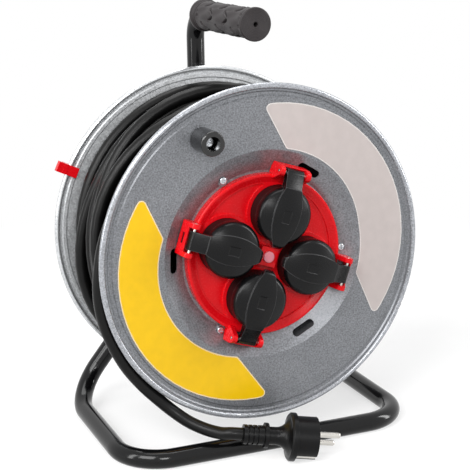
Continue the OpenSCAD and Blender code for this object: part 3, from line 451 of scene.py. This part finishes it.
def ring_faces(rows, columns, inward=False):
    """Faces of rings that close on themselves, counted row by row, with a fan at both ends.

    The fans' middles are the two points after the rings. inward turns every face round.
    """
    i, k = np.meshgrid(np.arange(rows - 1), np.arange(columns), indexing="ij")
    near, far = i * columns, (i + 1) * columns
    nxt = (k + 1) % columns
    quads = np.stack([near + k, near + nxt, far + nxt, far + k], -1).reshape(-1, 4)
    k, nxt = k[0], nxt[0]
    last = rows * columns
    start = np.stack([nxt, k, np.full(columns, last)], -1)
    end = np.stack([last - columns + k, last - columns + nxt, np.full(columns, last + 1)], -1)
    order = -1 if inward else 1
    return [face for part in (quads, start, end) for face in part[:, ::order].tolist()]


def tube(name, line, radius, sides, up, material):
    """Round tube: every point of the line carries a ring of the given radius, square to the line's heading.

    The ring's first direction is up less its part along the heading, and both ends are closed by a fan.
    """
    heading = np.gradient(line, axis=0)
    heading /= np.linalg.norm(heading, axis=1)[:, None]
    side = up - (heading @ up)[:, None] * heading
    side /= np.linalg.norm(side, axis=1)[:, None]
    other = np.cross(heading, side)
    turn = 2 * np.pi * np.arange(sides) / sides
    ring = np.cos(turn)[None, :, None] * side[:, None] + np.sin(turn)[None, :, None] * other[:, None]
    points = np.concatenate([(line[:, None] + radius * ring).reshape(-1, 3), line[:1], line[-1:]])
    return add_mesh(name, points, ring_faces(len(line), sides), material)


def even(line, step):
    """The line's points again, read off at even lengths along it, about step apart."""
    along = np.concatenate([[0], np.cumsum(np.linalg.norm(np.diff(line, axis=0), axis=1))])
    wanted = np.linspace(0, along[-1], max(2, int(round(along[-1] / step)) + 1))
    return np.stack([np.interp(wanted, along, line[:, i]) for i in range(3)], -1)


def through(points, per=24):
    """Smooth curve through the points: a cubic between each two, whose slopes are their neighbours' chord."""
    p = np.vstack([2 * points[0] - points[1], points, 2 * points[-1] - points[-2]])
    a, b, c, d = (p[i:len(p) - 3 + i, None] for i in range(4))
    t = (np.arange(per) / per)[None, :, None]
    curve = 0.5 * (2 * b + (c - a) * t + (2 * a - 5 * b + 4 * c - d) * t ** 2
                   + (3 * b - a - 3 * c + d) * t ** 3)
    return np.vstack([curve.reshape(-1, 3), points[-1]])


def on_drum(radius, degrees, depth):
    """Points at a radius and angle about the hub, at a depth behind the front rim."""
    turn = np.radians(degrees)
    x, z = radius * np.cos(turn), HUB_Z + radius * np.sin(turn)
    return np.stack(np.broadcast_arrays(x, FRONT_Y + depth, z), -1)


def ease(x):
    """0 to 1 with level ends: three times the square less twice the cube."""
    x = np.clip(x, 0, 1)
    return x * x * (3 - 2 * x)


def bell(x, middle, half):
    """1 at the middle and 0 from half a width away, eased between them."""
    return ease(1 - np.abs(x - middle) / half)


# ---------- Cord ----------


def lead_line():
    """Inner end: out of the housing, round a quarter circle and through the barrel's wall."""
    bend = np.radians(np.linspace(0, 90, 28))
    outwards = LEAD_R + LEAD_BEND * (1 - np.cos(bend))
    backwards = LEAD_CROSSES - LEAD_BEND * (1 - np.sin(bend))
    radius = np.concatenate([[LEAD_R, LEAD_R], outwards, [BARREL_R + PAST_WALL]])
    depth = np.concatenate([[LEAD_ENDS, LEAD_ENDS + LEAD_STRAIGHT], backwards, [LEAD_CROSSES]])
    return even(on_drum(radius, LEAD_TURN, depth), LEAD_SPACING)


def end_line(sizes):
    """Last turn, and the free cord down to the plug.

    The last turn comes up out of the winding by an eased step, then its radius grows evenly with the
    angle. The free cord leaves along its tangent, follows the route and enters the plug along its axis.
    """
    degrees = np.linspace(LAST_TURN_FROM - COMES_UP_OVER, LAST_TURN_TO, 190)
    opened = np.clip((degrees - LAST_TURN_FROM) / (LAST_TURN_TO - LAST_TURN_FROM), 0, 1)
    radius = LAST_TURN_R[0] + (LAST_TURN_R[1] - LAST_TURN_R[0]) * opened
    radius = radius - (LAST_TURN_R[0] - sizes.dip_r) * (1 - ease((degrees - degrees[0]) / COMES_UP_OVER))
    turn = on_drum(radius, degrees, sizes.lane)
    leaves = turn[-1] - turn[-2]
    leaves /= np.linalg.norm(leaves)
    level = math.cos(PLUG_TILT)
    axis = np.array((math.cos(PLUG_TURN) * level, math.sin(PLUG_TURN) * level, -math.sin(PLUG_TILT)))
    entry = PLUG_AT + PLUG_TAIL * axis
    one = sizes.cord_diameter
    free = np.vstack([
        turn[-1], turn[-1] + one * leaves, turn[-1] + 2 * one * leaves,
        np.stack([ROUTE[:, 0], FRONT_Y + sizes.lane - ROUTE[:, 1], ROUTE[:, 2]], -1),
        entry - one * axis, entry, entry + INTO_PLUG * axis,
    ])
    return even(np.vstack([turn[:-1], through(free)]), END_SPACING)


def wound_line(sizes):
    """Winding on the drum: a run along the barrel, three layers, a slanting crossing and the outer layer.

    Angles grow towards the free end. Depth and radius follow the number of turns, in straight runs and
    eased steps. In the layers that show, two sines of the angle make the turns wander, and where one
    rides on its neighbour a bell lifts it and moves it aside.
    """
    front, rear = sizes.cord_diameter / 2 + FLANGE_GAP, sizes.wind_rear
    third_front = sizes.wind_front + THIRD_BEHIND
    lower = sizes.layer_r + sizes.layer_step * np.arange(3)
    runs = np.array([rear - front, rear - front, rear - third_front]) / sizes.layer_pitch
    knots = np.cumsum(np.concatenate([[0, FIRST_RUN], runs]))
    # Waits at the rear flange until it can cross at the drum's upper left
    crosses = knots[-1] + (CROSSING_FROM - LEAD_TURN - 360 * knots[-1]) % 360 / 360
    begins = crosses + CROSSING
    ends = begins + (sizes.outer_rear - sizes.wind_front) / sizes.outer_pitch
    t = np.linspace(0, ends, int(ends * TURN_POINTS) + 1)
    turns = [0, knots[1], knots[2], knots[3] - SHIFT_BACK, knots[3] + SHIFT_BACK, knots[4],
             crosses, begins, ends]
    depths = [LEAD_CROSSES, front, rear, front, third_front, rear, rear, sizes.outer_rear, sizes.wind_front]
    depth = np.interp(t, turns, depths)
    crossing = (t > crosses) & (t < begins)
    depth[crossing] = rear + (sizes.outer_rear - rear) * ease((t[crossing] - crosses) / (begins - crosses))
    # Corners of the depth are rounded by a running mean
    weights = np.full(ROUNDED_OVER, 1 / ROUNDED_OVER)
    depth = np.convolve(np.pad(depth, ROUNDED_OVER // 2, mode="edge"), weights, mode="valid")
    radius = lower[0] + (lower[1] - lower[0]) * ease((t - knots[2]) / CLIMB + 0.5)
    radius += (lower[2] - lower[1]) * ease((t - knots[3]) / CLIMB + 0.5)
    radius += (sizes.outer_r - lower[2]) * ease((t - crosses) / CROSSING_CLIMB + 0.8)
    degrees = LEAD_TURN + 360 * t
    around = np.radians(degrees)
    wander = sizes.wander * sum(share * np.sin(waves * around + phase) for share, waves, phase in WAVES)
    depth = depth + wander * ease((t - knots[3] - 0.3) / 0.8) * ease((ends - 0.8 - t) / 0.8)
    for turn, angle, reach in RIDES:
        middle = np.floor(begins) + turn + (angle - LEAD_TURN) % 360 / 360
        rides = bell(t, middle, reach) * (t < ends - 0.6)
        radius = radius + sizes.lift * rides
        depth = depth + sizes.cord_diameter * RIDE_ASIDE * rides
    radius = radius - (sizes.outer_r - sizes.dip_r) * ease((t - ends + 0.4) / 0.4)
    return on_drum(radius, degrees, depth)


# ---------- Grip's shape ----------


def grip_outline(total, collar_r):
    """Half outline of the grip as radius and depth, and the slice of its rows that is the body.

    From the front: blind hole, end face, flange, body, two rings, collar, bore and the hole's inside.
    The end face's depth is a low cosine of the radius, which makes fine rings.
    """
    hole = [(0, 0.030), (0.0019, 0.028), (0.0019, 0.0010), (0.0019, 0.0003), (0.0021, 0.0)]
    rings = np.linspace(0.0026, GRIP_FLANGE_R - 0.0012, 40)
    face = np.stack([rings, FACE_RING_LIFT * (1 + np.cos(2 * np.pi * rings / FACE_RING_PITCH))], -1)
    flange = [(GRIP_FLANGE_R - 0.0004, 0.0003), (GRIP_FLANGE_R, 0.0010), (GRIP_FLANGE_R, 0.0024),
              (GRIP_FLANGE_R - 0.0005, 0.0031), (GRIP_BODY_R - 0.0003, 0.0034)]
    depth = np.linspace(0.0042, total - 0.0105, GRIP_BODY_ROWS)
    body = np.stack([np.full(len(depth), GRIP_BODY_R), depth], -1)
    low_r, high_r, edge_r = GRIP_BODY_R - 0.0006, GRIP_BODY_R + 0.0004, collar_r - 0.0009
    rear = [(low_r, total - 0.0100), (low_r, total - 0.0092), (high_r, total - 0.0088),
            (high_r, total - 0.0078), (low_r, total - 0.0074), (low_r, total - 0.0062),
            (edge_r, total - 0.0054), (collar_r, total - 0.0045), (collar_r, total - 0.0011), (edge_r, total),
            (GRIP_BORE_R + 0.0003, total), (GRIP_BORE_R, total - 0.0004), (GRIP_BORE_R, 0.0042),
            (0.0023, 0.0042), (0.0023, 0.0285), (0, 0.0305)]
    first = len(hole) + len(face) + len(flange)
    return np.vstack([hole, face, flange, body, rear]), slice(first, first + len(body))


def grip_relief(sizes, depth, turn):
    """Height of the grip's pattern at every depth and turn.

    A low wave along and round the body makes bulges, and a bell curve of the distance to each slash
    sinks it.
    Two columns lean together as one chevron, and every second pair is set back by half a row.
    """
    length = depth[-1] - depth[0]
    share = (depth - depth[0]) / length
    fade = (ease(share / SLASH_FADE) * ease((1 - share) / SLASH_FADE))[:, None]
    cell_across, cell_along = 2 * np.pi / sizes.slashes, 1 / sizes.rows
    place = (turn + cell_across / 2) / cell_across
    column = np.floor(place) % sizes.slashes
    pair = np.floor(((column + 1) % sizes.slashes) / 2)
    shifted = (share[:, None] + 0.5 * cell_along * (pair[None, :] % 2)) / cell_along
    # Place in the cell round and along the grip, then across and along its slash
    u = ((place % 1 - 0.5) * cell_across * GRIP_BODY_R)[None, :]
    v = (shifted % 1 - 0.5) * cell_along * length
    lean = (np.where(column % 2 == 0, 1.0, -1.0) * SLASH_LEAN)[None, :]
    across = u * np.cos(lean) - v * np.sin(lean)
    beyond = np.maximum(np.abs(u * np.sin(lean) + v * np.cos(lean)) - sizes.groove_length / 2, 0)
    slash = np.exp(-(across ** 2 + beyond ** 2) / sizes.groove_width ** 2)
    wave = BULGE * np.cos(2 * np.pi * shifted) * np.cos(turn * sizes.slashes / 2)[None, :]
    return fade * (wave - sizes.groove_depth * slash)


# ---------- Pieces ----------


class REEL_OT_camera(bpy.types.Operator):
    """Sets the camera: azimuth and elevation turn it about the target, and roll about its line of sight"""

    bl_idname = "reel.camera"
    bl_label = "Camera"
    bl_options = {"REGISTER", "UNDO"}

    def execute(self, context):
        studio = context.scene.reel_studio
        az, el, roll = studio.azimuth, studio.elevation, studio.roll
        ahead = Vector((math.sin(az) * math.cos(el), math.cos(az) * math.cos(el), -math.sin(el)))
        right = Vector((math.cos(az), -math.sin(az), 0))
        up = right.cross(ahead)
        right, up = (right * math.cos(roll) + up * math.sin(roll),
                     up * math.cos(roll) - right * math.sin(roll))
        camera = bpy.data.objects.new("camera", bpy.data.cameras.new("camera"))
        bpy.context.scene.collection.objects.link(camera)
        camera.data.lens = studio.focal
        camera.data.sensor_width = SENSOR_MM
        place = CAMERA_TARGET - studio.distance * ahead
        camera.matrix_world = Matrix((
            (right.x, up.x, -ahead.x, place.x), (right.y, up.y, -ahead.y, place.y),
            (right.z, up.z, -ahead.z, place.z), (0, 0, 0, 1),
        ))
        bpy.context.scene.camera = camera
        return {"FINISHED"}


class REEL_OT_cord(bpy.types.Operator):
    """Makes the cord in three pieces: inner lead, winding on the drum, and last turn down to the plug"""

    bl_idname = "reel.cord"
    bl_label = "Cord"
    bl_options = {"REGISTER", "UNDO"}

    def execute(self, context):
        sizes = context.scene.reel_sizes
        colours = context.scene.reel_colours
        # Rubber sheath: dull black with a faint dusty sheen and a very fine grain
        rubber = finish("cord_rubber_matte", colours.cord, rough=(0.28, 0.40), grain_mm=0.7, bump_mm=0.010,
                        tone=(0.8, 1.25), IOR=1.30)
        radius = sizes.cord_diameter / 2
        lead, end = lead_line(), end_line(sizes)
        wound = wound_line(sizes)
        tangent = np.array((-math.sin(math.radians(LEAD_TURN)), 0, math.cos(math.radians(LEAD_TURN))))
        back = np.array((0.0, 1.0, 0.0))
        lead_cord = tube("lead_cord", lead, radius, 16, tangent, rubber)
        wound_cord = tube("wound_cord", wound, radius, 16, back, rubber)
        cord_end = tube("cord_end", end, radius, 20, back, rubber)
        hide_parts("inner_lead")
        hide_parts("cord_core", "cord_winding")
        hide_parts("cord_last_turn", "cord_tail")
        for piece, body in ((lead_cord, "drum"), (wound_cord, "drum"), (cord_end, "frame")):
            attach(piece, body)
        return {"FINISHED"}


class REEL_OT_stand(bpy.types.Operator):
    """Finishes the tube stand"""

    bl_idname = "reel.stand"
    bl_label = "Stand"
    bl_options = {"REGISTER", "UNDO"}

    def execute(self, context):
        colours = context.scene.reel_colours
        # Gloss black powder coat: deep black, long soft highlights, a trace of orange peel
        coat = finish("powder_coat_gloss_black", colours.tube, rough=(0.10, 0.16), grain_mm=2.2,
                      bump_mm=0.012, tone=(0.9, 1.1), IOR=1.38)
        paint(coat, "base_tube", "handle_tube")
        return {"FINISHED"}


class REEL_OT_grip(bpy.types.Operator):
    """Makes the rubber grip: an outline turned about the handle, whose body carries the slashes"""

    bl_idname = "reel.grip"
    bl_label = "Grip"
    bl_options = {"REGISTER", "UNDO"}

    def execute(self, context):
        sizes = context.scene.reel_sizes
        colours = context.scene.reel_colours
        # Dark warm grey rubber: satin, nearly even, with a fine moulded grain
        rubber = finish("grip_rubber_satin", colours.grip, rough=(0.45, 0.55), grain_mm=0.6, bump_mm=0.015,
                        tone=(0.93, 1.07), IOR=1.35)
        low, high = GRIP_BOX
        outline, body = grip_outline(high.y - low.y, (high.z - low.z) / 2)
        turn = 2 * np.pi * np.arange(GRIP_COLUMNS) / GRIP_COLUMNS
        radius = np.repeat(outline[:, :1], GRIP_COLUMNS, axis=1)
        depth = np.repeat(outline[:, 1:], GRIP_COLUMNS, axis=1)
        radius[body] += grip_relief(sizes, outline[body, 1], turn)
        x, z = (low.x + high.x) / 2, (low.z + high.z) / 2
        points = np.stack([x + radius * np.cos(turn), low.y + depth, z + radius * np.sin(turn)], -1)
        # The first and last rows are poles: one point each, after the rings
        points = np.vstack([points[1:-1].reshape(-1, 3), points[0, :1], points[-1, :1]])
        faces = ring_faces(len(outline) - 2, GRIP_COLUMNS, inward=True)
        grip = add_mesh("grip_sleeve", points, faces, rubber)
        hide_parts("grip")
        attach(grip, "frame")
        return {"FINISHED"}


class REEL_OT_drum(bpy.types.Operator):
    """Finishes the drum's sheet steel and its fixings"""

    bl_idname = "reel.drum"
    bl_label = "Drum steel"
    bl_options = {"REGISTER", "UNDO"}

    def execute(self, context):
        colours = context.scene.reel_colours
        # Galvanised sheet: grey metal whose fine crystals sparkle. Its dull oxide scatters some of the light
        # Its rolled rim is painted 1.9 times lighter, a painted highlight, and is half as rough
        sheet = finish("steel_sheet_galvanised", colours.sheet, rough=(0.28, 0.46), grain_mm=1.3,
                       bump_mm=0.03, tone=(0.94, 1.06), speckle=(0.66, 1.36), rim_highlight_and_polish=(1.9, 0.5), Metallic=0.5)
        # Bright zinc plate: smoother and paler than the sheet
        zinc = finish("steel_zinc_plated", colours.hardware, rough=(0.20, 0.32), grain_mm=0.8, bump_mm=0.004,
                      edge_mm=0.25, Metallic=1.0)
        # The rear flange's face is painted paler than the front one's, as painted light on its inner face,
        # and its rolled rim a little lighter as a painted highlight
        painted_light_sheet = finish("steel_sheet_painted_light", colours.sheet_painted_light, rough=(0.40, 0.60), grain_mm=1.3,
                        bump_mm=0.02, tone=(0.95, 1.05), speckle=(0.80, 1.20), rim_highlight_and_polish=(1.15, 0.4), Metallic=0.7)
        paint(sheet, "front_flange", "barrel", "drum_hub")
        paint(painted_light_sheet, "rear_flange")
        paint(zinc, "hub_rivets", "tie_bolts", "tie_nuts", "axle", "axle_spacer", "axle_washers", "axle_nuts",
              "housing_screws", "knob_screw", "knob_nut")
        return {"FINISHED"}


class REEL_OT_sockets(bpy.types.Operator):
    """Finishes the socket plate, sockets, lids, button and cord clip"""

    bl_idname = "reel.sockets"
    bl_label = "Plate and sockets"
    bl_options = {"REGISTER", "UNDO"}

    def execute(self, context):
        colours = context.scene.reel_colours
        # Moulded ABS: saturated red, glossy, with rounded moulded edges
        red = finish("abs_gloss_red", colours.plate, rough=(0.22, 0.30), grain_mm=1.6, bump_mm=0.004,
                     tone=(0.95, 1.05), edge_mm=0.6, IOR=1.33)
        # Lid: satin black, spark-eroded texture, and a painted highlight along its edges
        for name in ("lid_1", "lid_2", "lid_3", "lid_4"):
            lid = finish(f"polyamide_satin_black_{name}", colours.lid, rough=(0.20, 0.30), grain_mm=0.5,
                         bump_mm=0.006, edge_mm=0.5, painted_highlight=0.2, relief=lid_relief(name), IOR=1.30)
            paint(lid, name)
        # Socket: the same plastic, duller inside its recess
        socket = finish("polyamide_dull_black", colours.socket, rough=(0.38, 0.5), grain_mm=0.5,
                        bump_mm=0.008, edge_mm=0.3, IOR=1.30)
        # Button cap: soft pink silicone, slightly translucent
        cap = finish("silicone_pink", colours.button, rough=(0.35, 0.45), grain_mm=0.8, bump_mm=0.004,
                     edge_mm=0.8, Subsurface_Weight=0.3, Subsurface_Scale=0.002)
        # Nickel-plated pins: bright and slightly warm
        nickel = finish("steel_nickel_plated", colours.nickel, rough=(0.14, 0.22), grain_mm=0.7,
                        bump_mm=0.002, edge_mm=0.15, Metallic=1.0)
        # Brass contacts: yellow metal, drawn and dull
        brass = finish("brass_drawn", colours.brass, rough=(0.28, 0.40), grain_mm=0.6, bump_mm=0.004,
                       Metallic=1.0)
        # Knob: turned phenolic, black and polished
        knob = finish("phenolic_gloss_black", colours.socket, rough=(0.07, 0.12), grain_mm=1.5, bump_mm=0.002,
                      edge_mm=0.8, IOR=1.62)
        paint(red, "socket_plate", "cord_clip")
        paint(socket, "socket_1", "socket_2", "socket_3", "socket_4")
        paint(knob, "crank_knob")
        paint(cap, "reset_button")
        paint(nickel, "lid_pins", "plug_pins", "plug_earth", "earth_clips")
        paint(brass, "contact_sleeves")
        return {"FINISHED"}


class REEL_OT_labels(bpy.types.Operator):
    """Finishes the two bare labels"""

    bl_idname = "reel.labels"
    bl_label = "Labels"
    bl_options = {"REGISTER", "UNDO"}

    def execute(self, context):
        colours = context.scene.reel_colours
        # Plain film, left unprinted: a satin colour field inside a paler edge
        paint(film("film_white", colours.white_film, colours.film_edge), "white_label")
        paint(film("film_yellow", colours.yellow_film, colours.film_edge), "yellow_label")
        return {"FINISHED"}


class REEL_OT_plug(bpy.types.Operator):
    """Finishes the moulded plug"""

    bl_idname = "reel.plug"
    bl_label = "Plug"
    bl_options = {"REGISTER", "UNDO"}

    def execute(self, context):
        colours = context.scene.reel_colours
        # Moulded rubber: black, satin where it has been handled
        body = finish("plug_rubber_satin", colours.plug, rough=(0.27, 0.38), grain_mm=0.6, bump_mm=0.010,
                      edge_mm=0.4, IOR=1.28)
        # Insert that holds the pins: harder and a little paler
        insert = finish("plug_insert_hard", colours.housing, rough=(0.30, 0.42), grain_mm=0.6, bump_mm=0.006,
                        edge_mm=0.3)
        paint(body, "plug_body")
        paint(insert, "plug_insert")
        return {"FINISHED"}


class REEL_OT_inside(bpy.types.Operator):
    """Finishes the parts inside the drum"""

    bl_idname = "reel.inside"
    bl_label = "Inside parts"
    bl_options = {"REGISTER", "UNDO"}

    def execute(self, context):
        colours = context.scene.reel_colours
        # Housing and cutout: dark grey polypropylene, dull
        dark = finish("polypropylene_dark_grey", colours.housing, rough=(0.45, 0.6), grain_mm=0.7,
                      bump_mm=0.010, edge_mm=0.4)
        # Bushes and terminal block: cream nylon, waxy
        nylon = finish("nylon_cream", colours.nylon, rough=(0.35, 0.45), grain_mm=0.9, bump_mm=0.004,
                       edge_mm=0.3, Subsurface_Weight=0.2, Subsurface_Scale=0.001)
        paint(dark, "socket_housing", "thermal_cutout", "cord_gland", "cord_grommet")
        paint(nylon, "hub_bushes", "terminal_block")
        return {"FINISHED"}


class REEL_OT_studio(bpy.types.Operator):
    """Makes the floor, the lamps and the even room light"""

    bl_idname = "reel.studio"
    bl_label = "Studio"
    bl_options = {"REGISTER", "UNDO"}

    def execute(self, context):
        studio = context.scene.reel_studio
        material, tree = empty_material("floor_matte_white")
        # Matte white, grey to the object's finishes, and the background's own white far out
        where = node(tree, "ShaderNodeTexCoord").outputs["Object"]
        away = node(tree, "ShaderNodeVectorMath", {0: where}, operation="LENGTH").outputs["Value"]
        seen = shown_rays(tree)
        sockets = {0: away, 1: FLOOR_TURNS[0], 2: FLOOR_TURNS[1], 3: FLOOR_SHOWS[0], 4: FLOOR_SHOWS[1]}
        far = node(tree, "ShaderNodeMapRange", sockets).outputs[0]
        far = node(tree, "ShaderNodeMath", {0: far, 1: seen}, operation="MULTIPLY").outputs[0]
        near = toned(tree, studio.floor, grain(tree, 40.0), 0.99, 1.01)
        near = node(tree, "ShaderNodeMix", {0: seen, 6: studio.floor_bounce, 7: near}, data_type="RGBA")
        matte = node(tree, "ShaderNodeBsdfDiffuse", {"Color": near.outputs[2], "Roughness": 1.0}).outputs[0]
        plain = node(tree, "ShaderNodeEmission", {"Color": linear(WHITE), "Strength": 1.0}).outputs[0]
        blend = node(tree, "ShaderNodeMixShader", {0: far, 1: matte, 2: plain}).outputs[0]
        node(tree, "ShaderNodeOutputMaterial", {"Surface": blend})
        half = studio.floor_size / 2
        corners = np.array([(-half, -half, 0), (half, -half, 0), (half, half, 0), (-half, half, 0)])
        floor = add_mesh("floor", corners, [(0, 1, 2, 3)], material, smooth=False)
        world = bpy.data.worlds.new("room")
        bpy.context.scene.world = world
        world.use_nodes = True
        world.node_tree.nodes.clear()
        room = world.node_tree
        sockets = {0: shown_rays(room), 1: 0.0, 2: 1.0, 3: studio.room_level, 4: 1.0}
        level = node(room, "ShaderNodeMapRange", sockets).outputs[0]
        light = node(room, "ShaderNodeBackground", {"Color": linear(WHITE), "Strength": level}).outputs[0]
        node(room, "ShaderNodeOutputWorld", {"Surface": light})
        # Name, place, width, height and power
        lamps = (
            ("key_lamp", (-1.5, -1.3, 1.5), 1.2, 1.2, studio.key_power),
            ("side_lamp", (1.7, -0.7, 0.8), 0.35, 1.5, studio.side_power),
            ("edge_lamp", (-1.7, -0.3, 0.8), 0.3, 1.5, studio.edge_power),
            ("front_lamp", (-0.35, -1.7, 0.80), 0.5, 0.5, studio.front_power),
            ("top_lamp", (0.1, 0.3, 2.0), 1.4, 1.4, studio.top_power),
        )
        for name, place, width, height, watts in lamps:
            data = bpy.data.lights.new(name, "AREA")
            data.energy = watts
            data.shape = "RECTANGLE"
            data.size = width
            data.size_y = height
            lamp = bpy.data.objects.new(name, data)
            bpy.context.scene.collection.objects.link(lamp)
            lamp.location = place
            lamp.rotation_euler = (LAMP_TARGET - Vector(place)).to_track_quat("-Z", "Y").to_euler()
        bpy.context.scene.view_settings.view_transform = "Standard"
        return {"FINISHED"}


OPERATORS = (
    REEL_OT_camera, REEL_OT_cord, REEL_OT_stand, REEL_OT_grip, REEL_OT_drum, REEL_OT_sockets,
    REEL_OT_labels, REEL_OT_plug, REEL_OT_inside, REEL_OT_studio,
)


class REEL_PT_panel(bpy.types.Panel):
    """Sidebar panel with every step of the reel"""

    bl_idname = "REEL_PT_panel"
    bl_label = "Cord Reel"
    bl_space_type = "VIEW_3D"
    bl_region_type = "UI"
    bl_category = "Cord Reel"

    def draw(self, context):
        for operator in OPERATORS:
            self.layout.operator(operator.bl_idname)
        for group in (context.scene.reel_sizes, context.scene.reel_colours, context.scene.reel_studio):
            box = self.layout.box()
            for name in group.__annotations__:
                box.prop(group, name)


CLASSES = (ReelSizes, ReelColours, ReelStudio) + OPERATORS + (REEL_PT_panel,)


def register():
    """Registers every class and hangs the property groups on the scene."""
    for cls in CLASSES:
        bpy.utils.register_class(cls)
    bpy.types.Scene.reel_sizes = PointerProperty(type=ReelSizes)
    bpy.types.Scene.reel_colours = PointerProperty(type=ReelColours)
    bpy.types.Scene.reel_studio = PointerProperty(type=ReelStudio)


def unregister():
    """Undoes register, in the opposite order."""
    del bpy.types.Scene.reel_sizes, bpy.types.Scene.reel_colours, bpy.types.Scene.reel_studio
    for cls in reversed(CLASSES):
        bpy.utils.unregister_class(cls)


def main():
    """Registers the add-on and makes every piece in order."""
    register()
    bpy.ops.reel.camera()
    bpy.ops.reel.cord()
    bpy.ops.reel.stand()
    bpy.ops.reel.grip()
    bpy.ops.reel.drum()
    bpy.ops.reel.sockets()
    bpy.ops.reel.labels()
    bpy.ops.reel.plug()
    bpy.ops.reel.inside()
    bpy.ops.reel.studio()


if __name__ == "__main__":
    main()
